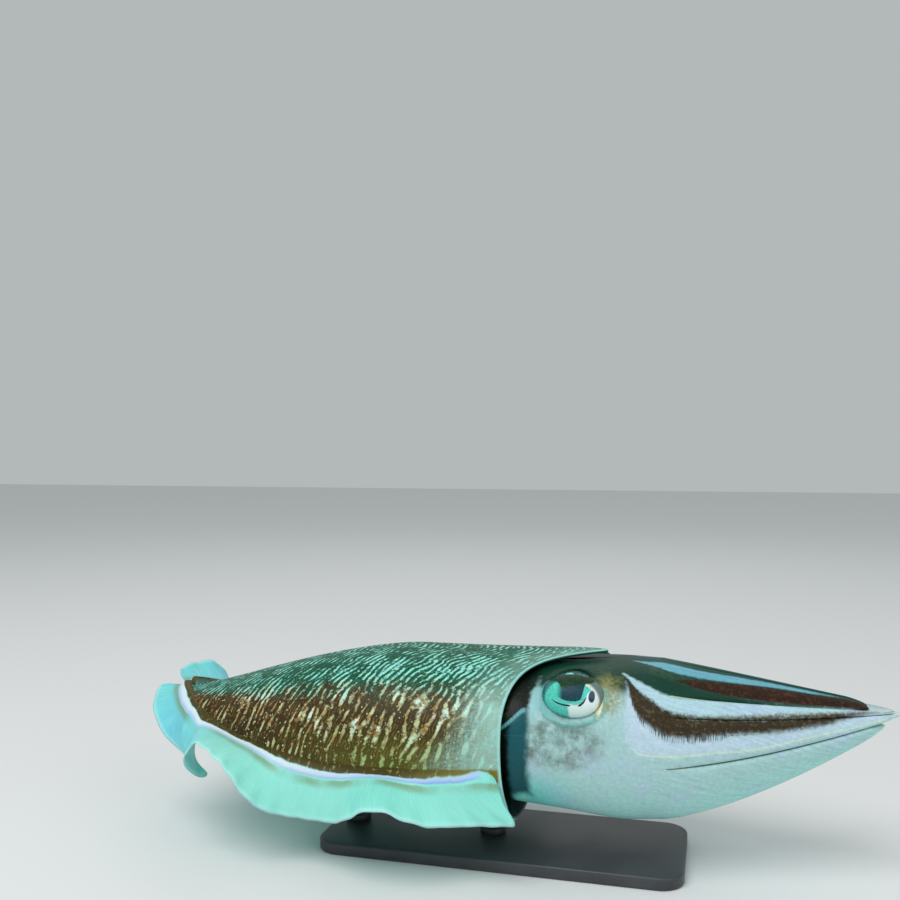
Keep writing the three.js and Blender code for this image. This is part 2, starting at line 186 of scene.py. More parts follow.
class Finish(Enum):
    """The skin's finishes; the value is the material's name."""

    MANTLE = "striped_mantle_skin"
    FIN = "thin_fin_skin"
    HEAD = "head_and_arm_skin"
    FUNNEL = "soft_funnel_skin"


def light_value(level: int) -> float:
    """A level on the screen's scale of 0 to 255, as the light value that nodes use."""
    share = level / 255
    return share / 12.92 if share <= 0.04045 else ((share + 0.055) / 1.055) ** 2.4


@dataclass
class Graph:
    """Adds nodes to one material's or group's tree and links them."""

    tree: Tree

    def node(
        self, kind: str, inputs: dict[str | int, Value] | None = None, **settings: object
    ) -> Node:
        """Adds a node.

        Args:
            kind: The node's type name.
            inputs: Values or sockets for its inputs, by name or number.
            **settings: The node's own options.

        Returns:
            The new node.
        """
        made = self.tree.nodes.new(kind)
        for name, value in settings.items():
            setattr(made, name, value)
        for key, value in (inputs or {}).items():
            self.feed(made.inputs[key], value)
        return made

    def feed(self, socket: Socket, value: Value) -> None:
        """Links a socket to an input, or sets the input's own value.

        Args:
            socket: The input.
            value: The socket or plain value that it gets; a colour's levels run from 0 to 255.
        """
        if isinstance(value, Socket):
            self.tree.links.new(value, socket)
        elif socket.type == "RGBA":
            socket.default_value = (*map(light_value, value), 1)
        else:
            socket.default_value = value

    def math(self, operation: str, *values: Value, clamp: bool = False) -> Socket:
        """The result of one plain operation on values."""
        inputs = dict(enumerate(values))
        return self.node("ShaderNodeMath", inputs, operation=operation, use_clamp=clamp).outputs[0]

    def times(self, a: Value, b: Value) -> Socket:
        """The product of two values."""
        return self.math("MULTIPLY", a, b)

    def plus(self, a: Value, b: Value) -> Socket:
        """The sum of two values."""
        return self.math("ADD", a, b)

    def minus(self, a: Value, b: Value) -> Socket:
        """The first value less the second."""
        return self.math("SUBTRACT", a, b)

    def scaled(self, value: Value, by: Value, plus: Value) -> Socket:
        """A value times another, plus a third."""
        return self.math("MULTIPLY_ADD", value, by, plus)

    def step(self, value: Value, low: Value, high: Value, top: Value = 1.0) -> Socket:
        """A soft step from 0 at low up to top at high."""
        inputs = {"Value": value, "From Min": low, "From Max": high, "To Max": top}
        return self.node("ShaderNodeMapRange", inputs, interpolation_type="SMOOTHSTEP").outputs[0]

    def mix(self, share: Value, a: Value, b: Value) -> Socket:
        """Colour a with a share of colour b over it."""
        return self.node("ShaderNodeMix", {0: share, 6: a, 7: b}, data_type="RGBA").outputs[2]

    def blend_values(self, share: Value, a: Value, b: Value) -> Socket:
        """The value at a share of the way from a to b."""
        return self.node("ShaderNodeMix", {0: share, 2: a, 3: b}, data_type="FLOAT").outputs[0]

    def vectors(self, operation: str, *values: Value) -> Socket:
        """The result of one plain operation on vectors."""
        inputs = dict(enumerate(values))
        return self.node("ShaderNodeVectorMath", inputs, operation=operation).outputs[0]

    def noise(self, vector: Value, scale: Value, detail: float = 2.0, rough: float = 0.5) -> Socket:
        """Soft noise about 0.5."""
        inputs = {"Vector": vector, "Scale": scale, "Detail": detail, "Roughness": rough}
        return self.node("ShaderNodeTexNoise", inputs).outputs["Fac"]

    def sway(self, vector: Value, scale: Value, detail: float, rough: float = 0.5) -> Socket:
        """Soft noise about 0."""
        return self.minus(self.noise(vector, scale, detail, rough), 0.5)

    def gabor(
        self, vector: Value, scale: float, often: Value, aligned: float, lean: Value
    ) -> Socket:
        """Wavy stripes.

        Args:
            vector: The pattern coordinates.
            scale: How small the stripes' patches are.
            often: How many stripes a patch holds.
            aligned: How far the patches agree in direction.
            lean: The stripes' angle in radians.

        Returns:
            The stripes as a value about 0.5.
        """
        inputs = {"Vector": vector, "Scale": scale, "Frequency": often, "Anisotropy": aligned}
        made = self.node("ShaderNodeTexGabor", inputs, gabor_type="2D")
        angle = next(i for i in made.inputs if i.name == "Orientation" and i.type == "VALUE")
        self.feed(angle, lean)
        return made.outputs["Value"]

    def curve(self, value: Value, points: Path) -> Socket:
        """A smooth curve through points that run from 0 to 1 both ways.

        Args:
            value: The place to read the curve at.
            points: The curve's points, in order.

        Returns:
            The curve's height there.
        """
        made = self.node("ShaderNodeFloatCurve", {"Value": value})
        line = made.mapping.curves[0]
        line.points[0].location, line.points[1].location = points[0], points[-1]
        for x, y in points[1:-1]:
            line.points.new(x, y)
        made.mapping.update()
        return made.outputs[0]

    def group(self, tree: Tree, inputs: dict[str, Value]) -> Socket:
        """The output of a shared effect, placed in this tree with its own values."""
        return self.node("ShaderNodeGroup", inputs, node_tree=tree).outputs[0]


@dataclass(frozen=True)
class Effect:
    """An empty node group for an effect that several finishes share."""

    graph: Graph
    given: Node
    made: Node

    @classmethod
    def new(cls, name: str, output: str, **values: float) -> "Effect":
        """Makes the group, with a vector input ahead of its plain ones.

        Args:
            name: The group's name.
            output: The name of its one output.
            **values: The plain inputs with their own values.

        Returns:
            The group's graph, its input node and its output node.
        """
        tree = bpy.data.node_groups.new(name, "ShaderNodeTree")
        tree.interface.new_socket(name="Vector", in_out="INPUT", socket_type="NodeSocketVector")
        for label, value in values.items():
            socket = tree.interface.new_socket(name=label, in_out="INPUT", socket_type=FLOAT)
            socket.default_value = value
        tree.interface.new_socket(name=output, in_out="OUTPUT", socket_type=FLOAT)
        graph = Graph(tree)
        return cls(graph, graph.node("NodeGroupInput"), graph.node("NodeGroupOutput"))

    def finished(self, value: Socket) -> Tree:
        """Sends the value to the group's output."""
        self.graph.feed(self.made.inputs[0], value)
        return self.graph.tree


def grain_effect() -> Tree:
    """Fine skin grain: soft folds with tiny rounded cells over them, as a height.

    Returns:
        The node group.
    """
    effect = Effect.new("skin_grain", "Height", Fineness=500.0, Cells=0.5)
    graph, (place, fineness, share) = effect.graph, effect.given.outputs[:3]
    folds = graph.noise(place, fineness, 3.0, 0.6)
    finer = {"Vector": place, "Scale": graph.times(fineness, 1.7)}
    cells = graph.node("ShaderNodeTexVoronoi", finer, feature="SMOOTH_F1")
    return effect.finished(graph.minus(folds, graph.times(cells.outputs["Distance"], share)))


def ragged_effect() -> Tree:
    """A mark with a ragged edge, from how deep inside its outline a place lies.

    Returns:
        The node group.
    """
    effect = Effect.new("ragged_mark", "Mask", Depth=0.0, Fineness=300.0, Ragged=1.0, Soft=0.5)
    graph, (place, depth, fineness, ragged, soft) = effect.graph, effect.given.outputs[:5]
    swing = graph.times(graph.sway(place, fineness, 4.0, 0.6), 4.0)
    shift = graph.scaled(swing, ragged, depth)
    return effect.finished(graph.step(shift, graph.times(soft, -1.0), soft))


def freckle_effect() -> Tree:
    """Scattered small round dots of uneven size.

    Returns:
        The node group.
    """
    effect = Effect.new("freckles", "Mask", Spacing=3.0, Size=0.2, Share=0.5)
    graph, (place, spacing, largest, share) = effect.graph, effect.given.outputs[:4]
    cells = graph.node("ShaderNodeTexVoronoi", {"Vector": place, "Scale": spacing})
    chance = graph.node("ShaderNodeSeparateColor", {"Color": cells.outputs["Color"]})
    size = graph.times(largest, graph.plus(chance.outputs[1], 0.4))
    round_dot = graph.step(cells.outputs["Distance"], size, graph.times(size, 0.55))
    kept = graph.math("LESS_THAN", chance.outputs[0], share)
    return effect.finished(graph.times(round_dot, kept))


@dataclass(frozen=True)
class Effects:
    """The node groups that the finishes share, each made once."""

    grain: Tree = field(default_factory=grain_effect)
    ragged: Tree = field(default_factory=ragged_effect)
    freckles: Tree = field(default_factory=freckle_effect)


@dataclass
class Paint(Graph):
    """A material in the making, whose colour is laid on in layers."""

    material: Material
    shader: Node
    effects: Effects
    colour: Value = (0, 0, 0)

    @classmethod
    def new(cls, name: str, effects: Effects) -> "Paint":
        """Starts a material with only a Principled shader in it.

        Args:
            name: The material's name.
            effects: The shared node groups.

        Returns:
            The material in the making.
        """
        material = bpy.data.materials.new(name)
        material.use_nodes = True
        graph = Graph(material.node_tree)
        graph.tree.nodes.clear()
        shader = graph.node("ShaderNodeBsdfPrincipled")
        graph.node("ShaderNodeOutputMaterial", {"Surface": shader.outputs["BSDF"]})
        return cls(graph.tree, material, shader, effects)

    @cached_property
    def flow(self) -> Socket:
        """The pattern coordinates that follow the skin, in centimetres."""
        return self.node("ShaderNodeUVMap", uv_map="UVMap").outputs["UV"]

    @cached_property
    def place(self) -> Socket:
        """Object coordinates, in metres of the row frame."""
        return self.node("ShaderNodeTexCoord").outputs["Object"]

    def field(self, name: str) -> Socket:
        """One of the skin's own fields."""
        return self.node("ShaderNodeAttribute", attribute_name=name).outputs["Fac"]

    def over(self, share: Value, colour: Value) -> None:
        """Lays a share of a colour over the layers so far."""
        self.colour = self.mix(share, self.colour, colour)

    def tone(self, value: Value) -> None:
        """Makes the layers so far lighter or darker."""
        inputs = {"Color": self.colour, "Value": value}
        self.colour = self.node("ShaderNodeHueSaturation", inputs).outputs["Color"]

    def ragged(self, depth: Value, ragged: float, soft: float, fineness: float = 300.0) -> Socket:
        """A mark from how deep inside its outline a place lies, in millimetres."""
        given = {"Vector": self.place, "Depth": depth, "Ragged": ragged, "Soft": soft}
        return self.group(self.effects.ragged, {**given, "Fineness": fineness})

    def mark(self, name: str, ragged: float, soft: float, fineness: float = 300.0) -> Socket:
        """A mark whose depth is one of the skin's fields."""
        return self.ragged(self.field(name), ragged, soft, fineness)

    def line(self, name: str, half: float, soft: float = 0.3) -> Socket:
        """A thin line whose offset is one of the skin's fields."""
        return self.step(self.math("ABSOLUTE", self.field(name)), half + soft, half)

    def freckles(self, spacing: float, size: float, share: float) -> Socket:
        """Scattered dots that follow the skin."""
        inputs = {"Vector": self.flow, "Spacing": spacing, "Size": size, "Share": share}
        return self.group(self.effects.freckles, inputs)

    def grain(self, fineness: float, cells: float) -> Socket:
        """The height of fine grain."""
        inputs = {"Vector": self.place, "Fineness": fineness, "Cells": cells}
        return self.group(self.effects.grain, inputs)

    def raised(self, height: Value, distance: float, strength: float = 0.5) -> None:
        """Raises the surface by a height that varies over it."""
        inputs = {"Height": height, "Distance": distance, "Strength": strength}
        self.shade(Normal=self.node("ShaderNodeBump", inputs).outputs["Normal"])

    def shade(self, **values: Value) -> None:
        """Sets inputs of the shader, whose names have _ for each space."""
        for name, value in values.items():
            self.feed(self.shader.inputs[name.replace("_", " ")], value)

    def moist(self, rough: Value, soft: float) -> None:
        """Sets what all the flesh shares: a thin wet coat and light that sinks in a little.

        Args:
            rough: The roughness under the coat.
            soft: How much light sinks into the skin.
        """
        self.shade(
            Roughness=rough,
            Coat_Weight=0.06,
            Coat_Roughness=0.16,
            Subsurface_Weight=soft,
            Subsurface_Radius=(0.9, 1.0, 0.9),
            Subsurface_Scale=0.002,
            Specular_IOR_Level=0.18,
        )


class Coating:
    """What every finish shares: it builds a material from its own layers."""

    name: str

    def lay(self, paint: Paint) -> None:
        """Lays the colours, the relief and the shine."""
        raise NotImplementedError

    def build(self, effects: Effects) -> Material:
        """Makes the material.

        Args:
            effects: The shared node groups.

        Returns:
            The material.
        """
        paint = Paint.new(self.name, effects)
        self.lay(paint)
        paint.shade(Base_Color=paint.colour)
        return paint.material


@dataclass(frozen=True)
class MantleFinish(Coating):
    """Dark olive skin with pale wavy cross stripes, dashes and dots, tinted green and teal on the back by
    a painted reflection of green water light.
    """

    name: str = Finish.MANTLE.value
    # The back's colours: the skin's own colours with a painted reflection of green water light over them.
    back_dark: Colour = (4, 78, 52)
    flank_dark: Colour = (58, 48, 12)
    rear_dark: Colour = (58, 40, 10)
    low_dark: Colour = (84, 84, 22)
    back_pale: Colour = (150, 232, 216)
    flank_pale: Colour = (190, 200, 150)
    tan: Colour = (160, 118, 62)
    thread: Colour = (150, 120, 66)
    back_thread_with_reflection: Colour = (60, 168, 140)
    lime: Colour = (150, 190, 120)
    blotch: Colour = (206, 232, 214)
    margin: Colour = (150, 186, 172)
    rim: Colour = (160, 222, 212)
    belly: Colour = (150, 222, 212)
    dot: Colour = (226, 232, 176)
    line_dark: Colour = (60, 54, 18)
    line_gold: Colour = (124, 112, 36)
    # Painted shade for the inside of the front edge and the pocket.
    pocket: Colour = (28, 84, 84)
    flank_lean: float = 0.36
    back_lean: float = 0.62
    root_line: float = 5

    def stripes(self, paint: Paint, back: Socket, fray: Socket) -> tuple[Socket, Socket]:
        """The wavy cross stripes and the finer threads between them.

        Args:
            paint: The material in the making.
            back: How far up on the back a place lies.
            fray: Noise that frays the threads.

        Returns:
            The stripes as a value about 0.5, and the threads' mask.
        """
        flow = paint.flow
        side = paint.math("SIGN", paint.node("ShaderNodeSeparateXYZ", {0: flow}).outputs["Y"])
        lean = paint.times(paint.blend_values(back, self.flank_lean, self.back_lean), side)
        lean = paint.times(lean, paint.step(paint.field("turn"), 0, 14))
        bend = paint.node("ShaderNodeTexNoise", {"Vector": flow, "Scale": 0.55}).outputs["Color"]
        bent = paint.vectors("SUBTRACT", bend, (0.5, 0.5, 0.5))
        warp = paint.vectors("MULTIPLY_ADD", bent, (0.7, 0.7, 0), flow)
        rear = paint.step(paint.field("along"), 190, 70)
        often = paint.blend_values(back, paint.blend_values(rear, 1.5, 2.3), 2.5)
        stripes = paint.gabor(warp, 0.9, often, 0.86, lean)
        threads = paint.scaled(fray, 0.5, paint.gabor(warp, 1.3, 3.6, 0.8, lean))
        return stripes, paint.step(threads, 0.56, 0.68)

    def lay(self, paint: Paint) -> None:
        """Lays the colours, the relief and the shine.

        Args:
            paint: The material in the making.
        """
        flow, place = paint.flow, paint.place
        along, turn, edge = (paint.field(name) for name in ("along", "turn", "edge"))
        blotch, root_line = paint.field("blotch"), paint.field("root_line")
        # How far up on the back a place lies: there the colours carry a painted reflection of green water
        # light.
        back = paint.step(paint.scaled(paint.noise(flow, 1.1, 3), 26, turn), 70, 47)
        rear = paint.step(along, 190, 70)
        low = paint.step(root_line, 34, 6)
        fray = paint.sway(flow, 5, 3, 0.65)
        stripes, threads = self.stripes(paint, back, fray)
        level = paint.scaled(fray, 0.5, stripes)
        level = paint.scaled(paint.sway(flow, 0.8, 1), 0.3, level)
        level = paint.scaled(blotch, 0.14, level)
        worn = paint.step(paint.noise(place, 300, 3, 0.7), 0.3, 0.52)
        pale = paint.times(paint.step(level, 0.55, 0.65), worn)
        light = paint.step(paint.noise(flow, 1.9, 3), 0.36, 0.64)
        light = paint.mix(light, self.tan, self.flank_pale)
        bright = paint.times(blotch, paint.step(level, 0.62, 0.78))
        light = paint.mix(paint.step(bright, 0.15, 0.5), light, self.blotch)
        light = paint.mix(back, light, self.back_pale)
        lime = paint.times(low, paint.step(along, 90, 170, 0.7))
        light = paint.mix(lime, light, self.lime)
        dark = paint.mix(low, self.flank_dark, self.low_dark)
        paint.colour = paint.mix(back, dark, self.back_dark)
        paint.over(paint.times(rear, paint.minus(1, back)), self.rear_dark)
        paint.over(paint.times(threads, 0.42), paint.mix(back, self.thread, self.back_thread_with_reflection))
        paint.over(pale, light)
        dots = paint.times(paint.freckles(3.6, 0.2, 0.75), paint.scaled(back, -0.45, 0.75))
        paint.over(dots, self.dot)
        reach = paint.scaled(low, 24, 36)
        front = paint.step(paint.scaled(fray, 46, edge), reach, 8)
        cloudy = paint.times(paint.noise(place, 120, 4, 0.65), paint.scaled(pale, 0.5, 0.6))
        streak = paint.mix(paint.step(cloudy, 0.2, 0.6), self.margin, self.rim)
        paint.over(paint.times(front, paint.scaled(back, -0.55, 0.92)), streak)
        cloud = paint.scaled(paint.noise(place, 90, 4, 0.6), 0.9, -0.45)
        paint.tone(paint.scaled(cloud, 0.5, 1))
        line = paint.mix(paint.step(edge, 75, 20), self.line_dark, self.line_gold)
        paint.over(paint.ragged(paint.minus(self.root_line, root_line), 0.9, 1.4, 260), line)
        paint.over(paint.step(root_line, -1.5, -5), self.belly)
        paint.over(paint.step(edge, 2.6, 0.4), self.rim)
        # Painted shade on the inside of the front edge and in the pocket round the neck.
        paint.over(paint.field("inner"), self.pocket)
        paint.raised(paint.scaled(pale, 0.5, paint.grain(420, 0.6)), 0.0008, 0.6)
        paint.moist(paint.scaled(cloud, 0.25, 0.46), 0.03)


@dataclass(frozen=True)
class FinFinish(Coating):
    """Thin pale turquoise skin with a white and lilac-blue line along its root."""

    name: str = Finish.FIN.value
    web: Colour = (150, 230, 216)
    web_rear: Colour = (116, 206, 222)
    web_low: Colour = (118, 220, 204)
    edge: Colour = (184, 242, 238)
    line: Colour = (214, 232, 240)
    lilac: Colour = (142, 178, 232)
    above: Colour = (72, 64, 24)
    gold: Colour = (124, 118, 48)
    scribble: Colour = (168, 170, 110)
    shade: Colour = (128, 150, 104)
    fleck: Colour = (52, 110, 104)

    def upper(self, paint: Paint) -> Socket:
        """The upper face's colour: the web with the line along its root.

        Args:
            paint: The material in the making, with the web's colour.

        Returns:
            The colour.
        """
        flow, along = paint.flow, paint.field("along")
        away = paint.minus(paint.field("out_mm"), paint.field("line_at"))
        away = paint.scaled(paint.sway(flow, 0.8, 4, 0.6), 2, away)
        below = paint.times(paint.step(away, 1.8, 3), paint.step(away, 9, 4))
        below = paint.times(below, paint.step(paint.noise(flow, 0.3, 3), 0.3, 0.6, 0.7))
        upper = paint.mix(below, paint.colour, self.shade)
        wide = paint.scaled(paint.step(along, 230, 30), 1.2, 0.75)
        band = paint.step(paint.math("ABSOLUTE", away), paint.plus(wide, 0.5), wide)
        tint = (paint.step(away, -0.8, 1.8, 0.6), paint.step(along, 90, 220, 0.6))
        line = paint.mix(paint.math("ADD", *tint, clamp=True), self.line, self.lilac)
        upper = paint.mix(paint.times(band, paint.step(along, 244, 234)), upper, line)
        above = paint.mix(paint.step(along, 180, 240), self.above, self.gold)
        scribble = paint.step(paint.noise(flow, 3.2, 4, 0.7), 0.54, 0.66, 0.6)
        above = paint.mix(scribble, above, self.scribble)
        inside = paint.times(wide, -1)
        return paint.mix(paint.step(away, inside, paint.minus(inside, 0.8)), upper, above)

    def lay(self, paint: Paint) -> None:
        """Lays the colours, the relief and the shine.

        Args:
            paint: The material in the making.
        """
        cloud = paint.noise(paint.place, 22, 3)
        fibre = paint.noise(paint.vectors("MULTIPLY", paint.flow, (9, 0.8, 1)), 1, 3)
        paint.colour = self.web
        paint.over(paint.step(paint.field("along"), 70, 10), self.web_rear)
        paint.over(paint.step(cloud, 0.4, 0.75, 0.6), self.web_low)
        paint.over(paint.step(fibre, 0.45, 0.75, 0.3), self.edge)
        paint.over(paint.step(paint.field("out"), 0.86, 1, 0.75), self.edge)
        paint.over(paint.field("top"), self.upper(paint))
        paint.over(paint.times(paint.freckles(2, 0.05, 0.22), 0.6), self.fleck)
        paint.raised(paint.scaled(fibre, 0.8, paint.grain(300, 0.3)), 0.0004)
        paint.moist(paint.scaled(cloud, 0.2, 0.3), 0.3)


@dataclass(frozen=True)
class HeadFinish(Coating):
    """Pale turquoise head and arms, dark about the eye, with long stripes on the arms."""

    name: str = Finish.HEAD.value
    face: Colour = (168, 206, 206)
    face_low_with_bounce_light: Colour = (164, 222, 216)
    glow: Colour = (112, 222, 214)
    fleck: Colour = (112, 116, 104)
    lilac: Colour = (176, 200, 222)
    cheek: Colour = (76, 96, 78)
    cheek_brown: Colour = (92, 84, 54)
    collar: Colour = (18, 84, 92)
    collar_edge: Colour = (96, 168, 176)
    crescent: Colour = (150, 200, 204)
    black_skin_and_shadow: Colour = (8, 18, 10)
    brow: Colour = (6, 58, 42)
    ochre: Colour = (146, 144, 88)
    lid: Colour = (118, 182, 180)
    gold: Colour = (226, 222, 180)
    spot: Colour = (150, 232, 226)
    blue: Colour = (104, 172, 190)
    russet: Colour = (44, 24, 12)
    russet_light: Colour = (80, 48, 26)
    border: Colour = (14, 60, 46)
    border_line: Colour = (176, 214, 170)
    arm_top: Colour = (6, 64, 54)
    arm_green: Colour = (40, 76, 58)
    white: Colour = (176, 212, 220)
    brown: Colour = (52, 42, 24)
    brown_light: Colour = (98, 88, 64)
    white_lilac: Colour = (188, 212, 228)
    yellow: Colour = (196, 222, 210)
    # Painted shade for the groove between the third and fourth arms.
    groove: Colour = (122, 134, 118)
    inner: Colour = (206, 222, 206)

    def head(self, paint: Paint, cloud: Socket, fine: Socket) -> None:
        """Lays the face and the marks about the eye and the collar.

        Args:
            paint: The material in the making.
            cloud: Broad noise.
            fine: Fine noise.
        """
        along, turn = paint.field("along"), paint.field("turn")
        # The lower face is paler: its own skin, lightened further with painted light bounced up from
        # below.
        paint.colour = paint.mix(paint.step(turn, 95, 150), self.face, self.face_low_with_bounce_light)
        paint.over(paint.step(cloud, 0.48, 0.68, 0.6), self.lilac)
        low = paint.times(paint.step(turn, 98, 128), paint.step(along, 302, 270, 0.75))
        paint.over(low, self.glow)
        green = paint.mix(paint.step(fine, 0.4, 0.62), self.arm_green, self.border)
        paint.over(paint.times(paint.step(turn, 52, 40), paint.step(along, 308, 330)), green)
        mottle = paint.step(paint.noise(paint.place, 150, 5, 0.65), 0.3, 0.66, 0.72)
        spots = paint.mix(paint.step(cloud, 0.45, 0.6), self.cheek, self.cheek_brown)
        paint.over(paint.times(paint.mark("cheek", 4, 5, 90), mottle), spots)
        paint.over(paint.mark("lid", 0.6, 1.2), self.lid)
        paint.over(paint.mark("collar", 1.2, 3, 150), self.collar)
        # The dark mark: the brow's dark skin, and black painted shadow behind the eye and where the head
        # runs under the mantle's edge.
        brow = paint.mix(paint.step(along, 262, 276), self.black_skin_and_shadow, self.brow)
        brow = paint.mix(paint.step(fine, 0.55, 0.75, 0.5), brow, self.arm_green)
        paint.over(paint.mark("dark", 1.7, 2.2, 160), brow)
        paint.over(paint.mark("collar_edge", 0.3, 0.6), self.collar_edge)
        worn = paint.step(fine, 0.7, 0.4, 0.9)
        paint.over(paint.times(paint.mark("ochre", 2.6, 4, 130), worn), self.ochre)
        paint.over(paint.mark("crescent", 0.6, 1.4), self.crescent)
        paint.over(paint.times(paint.mark("lid_line", 0.5, 0.7), 0.4), self.cheek_brown)
        paint.over(paint.mark("lid_gold", 0.5, 0.5), self.gold)
        paint.over(paint.mark("lid_spot", 0.3, 0.4), self.spot)

    def arms(self, paint: Paint, cloud: Socket) -> None:
        """Lays the arms' long stripes, from the back line down.

        Args:
            paint: The material in the making.
            cloud: Broad noise.
        """
        flow, place = paint.flow, paint.place
        rusty = paint.step(paint.noise(place, 330, 4, 0.75), 0.5, 0.66)
        speckle = paint.step(paint.noise(place, 430, 4, 0.75), 0.5, 0.7)
        white = paint.mix(paint.step(cloud, 0.4, 0.65), self.white, self.lilac)
        comb = paint.noise(paint.vectors("MULTIPLY", flow, (13, 0.9, 1)), 1, 2)
        teeth = paint.times(paint.step(comb, 0.47, 0.58, 0.85), paint.line("hatch", 0.8, 2.8))
        russet = paint.mix(rusty, self.russet, self.russet_light)
        grey = paint.mix(speckle, self.brown_light, self.lilac)
        brown = paint.mix(speckle, self.brown, self.brown_light)
        paint.over(paint.mark("blue", 0.8, 1.2), self.blue)
        paint.over(paint.mark("russet", 0.9, 1.3), russet)
        paint.over(paint.mark("border", 0.6, 0.9), self.border)
        paint.over(paint.line("border_line", 0.35), self.border_line)
        paint.over(paint.mark("white_two", 0.9, 1.3), white)
        paint.over(paint.mark("lilac_two", 1.2, 1.6), grey)
        paint.over(paint.mark("brown", 1.7, 1.6, 420), brown)
        paint.over(paint.mark("white_three", 1.2, 3.2), self.white_lilac)
        paint.over(teeth, self.brown)
        paint.over(paint.line("yellow_line", 0.3, 0.9), self.yellow)
        # Painted shade along the groove between the third and fourth arms.
        paint.over(paint.line("groove_line", 0.2, 0.4), self.groove)

    def lay(self, paint: Paint) -> None:
        """Lays the colours, the relief and the shine.

        Args:
            paint: The material in the making.
        """
        flow, place = paint.flow, paint.place
        cloud = paint.noise(place, 38, 4, 0.6)
        fine = paint.noise(place, 420, 4, 0.7)
        on_arms = paint.step(paint.field("along"), 318, 345)
        self.head(paint, cloud, fine)
        paint.over(paint.times(paint.step(paint.field("turn"), 13, 9), on_arms), self.arm_top)
        self.arms(paint, cloud)
        some = paint.step(paint.noise(flow, 1.2, 3), 0.42, 0.62, 0.55)
        paint.over(paint.times(paint.freckles(7, 0.2, 0.3), some), self.fleck)
        paint.over(paint.field("inner"), self.inner)
        streak = paint.sway(paint.vectors("MULTIPLY", flow, (0.5, 6, 1)), 1, 4, 0.65)
        tone = paint.scaled(paint.minus(fine, 0.5), 0.5, 1)
        paint.tone(paint.scaled(streak, paint.times(on_arms, 0.6), tone))
        paint.raised(paint.grain(380, 0.5), 0.0004)
        paint.moist(paint.scaled(cloud, 0.25, 0.33), 0.05)


@dataclass(frozen=True)
class FunnelFinish(Coating):
    """Dark teal skin on the funnel, paler and mottled at its mouth."""

    name: str = Finish.FUNNEL.value
    root: Colour = (22, 96, 92)
    mouth: Colour = (96, 190, 172)
    vein: Colour = (52, 84, 66)
    # Painted shade for the inside of the bore.
    bore: Colour = (20, 60, 58)

    def lay(self, paint: Paint) -> None:
        """Lays the colours, the relief and the shine.

        Args:
            paint: The material in the making.
        """
        paint.colour = self.root
        paint.over(paint.step(paint.field("along"), 268, 312), self.mouth)
        mottle = paint.step(paint.noise(paint.place, 260, 4, 0.7), 0.48, 0.64, 0.6)
        paint.over(mottle, self.vein)
        # Painted shade inside the bore.
        paint.over(paint.field("inner"), self.bore)
        paint.raised(paint.grain(420, 0.5), 0.0004)
        paint.moist(paint.scaled(mottle, 0.2, 0.36), 0.1)


@dataclass(frozen=True)
class SuckerFinish(Coating):
    """Pale horny cups with darker rims."""

    name: str = "sucker_flesh"
    flesh: Colour = (214, 222, 204)
    rim: Colour = (168, 158, 128)

    def lay(self, paint: Paint) -> None:
        """Lays the colours, the relief and the shine.

        Args:
            paint: The material in the making.
        """
        tint = paint.step(paint.noise(paint.place, 600, 3), 0.4, 0.65)
        paint.colour = paint.mix(tint, self.flesh, self.rim)
        paint.raised(paint.grain(900, 0.5), 0.0002)
        paint.moist(paint.scaled(tint, 0.2, 0.35), 0.15)


@dataclass
class Sheet:
    """One sheet of the skin: its points, its pattern coordinates and what its finish reads.

    Every array has a column for each step along the sheet and a row for each step across it.
    """

    name: str
    points: Array
    flow: Array
    finish: Finish
    fields: dict[str, Array] = field(default_factory=dict)

    def build(self, axes: BodyAxes) -> Piece:
        """Lays a grid of quads through the points.

        Args:
            axes: Where the body's axes lie.

        Returns:
            The sheet as an object.
        """
        bpy.ops.object.select_all(action="DESELECT")
        columns, rows = self.points.shape[0] - 1, self.points.shape[1] - 1
        bpy.ops.mesh.primitive_grid_add(x_subdivisions=columns, y_subdivisions=rows, size=1)
        piece = bpy.context.object
        piece.name = self.name
        mesh = piece.data
        flat = np.empty(len(mesh.vertices) * 3, np.float32)
        mesh.vertices.foreach_get("co", flat)
        at = flat.reshape(-1, 3) + 0.5
        i = np.rint(at[:, 0] * columns).astype(int)
        j = np.rint(at[:, 1] * rows).astype(int)
        mesh.vertices.foreach_set("co", axes.place(self.points[i, j]).astype(np.float32).ravel())
        loops = np.empty(len(mesh.loops), np.int32)
        mesh.loops.foreach_get("vertex_index", loops)
        flow = self.flow[i, j][loops].astype(np.float32)
        mesh.uv_layers[0].data.foreach_set("uv", flow.ravel())
        for name, values in self.fields.items():
            attribute = mesh.attributes.new(name, "FLOAT", "POINT")
            attribute.data.foreach_set("value", values[i, j].astype(np.float32))
        mesh.materials.append(bpy.data.materials[self.finish.value])
        mesh.update()
        return piece


def joined(pieces: Sequence[Piece], name: str) -> Piece:
    """Joins sheets into one smooth piece whose meeting edges are welded.

    Args:
        pieces: The sheets, of which the first one stays.
        name: The joined piece's name.

    Returns:
        The joined piece.
    """
    bpy.ops.object.select_all(action="DESELECT")
    for piece in pieces:
        piece.select_set(True)
    bpy.context.view_layer.objects.active = pieces[0]
    if len(pieces) > 1:
        bpy.ops.object.join()
    whole = bpy.context.object
    whole.name = name
    bpy.ops.object.mode_set(mode="EDIT")
    bpy.ops.mesh.select_all(action="SELECT")
    bpy.ops.mesh.remove_doubles(threshold=WELD_M)
    bpy.ops.mesh.normals_make_consistent(inside=False)
    bpy.ops.object.mode_set(mode="OBJECT")
    bpy.ops.object.shade_smooth()
    whole.data.validate()
    return whole


def folded(lower: Array, upper: Array) -> Array:
    """Two sheets as one that runs out on the first, back on the second, and closes."""
    return np.concatenate([lower, upper[:, ::-1][:, 1:], lower[:, :1]], axis=1)


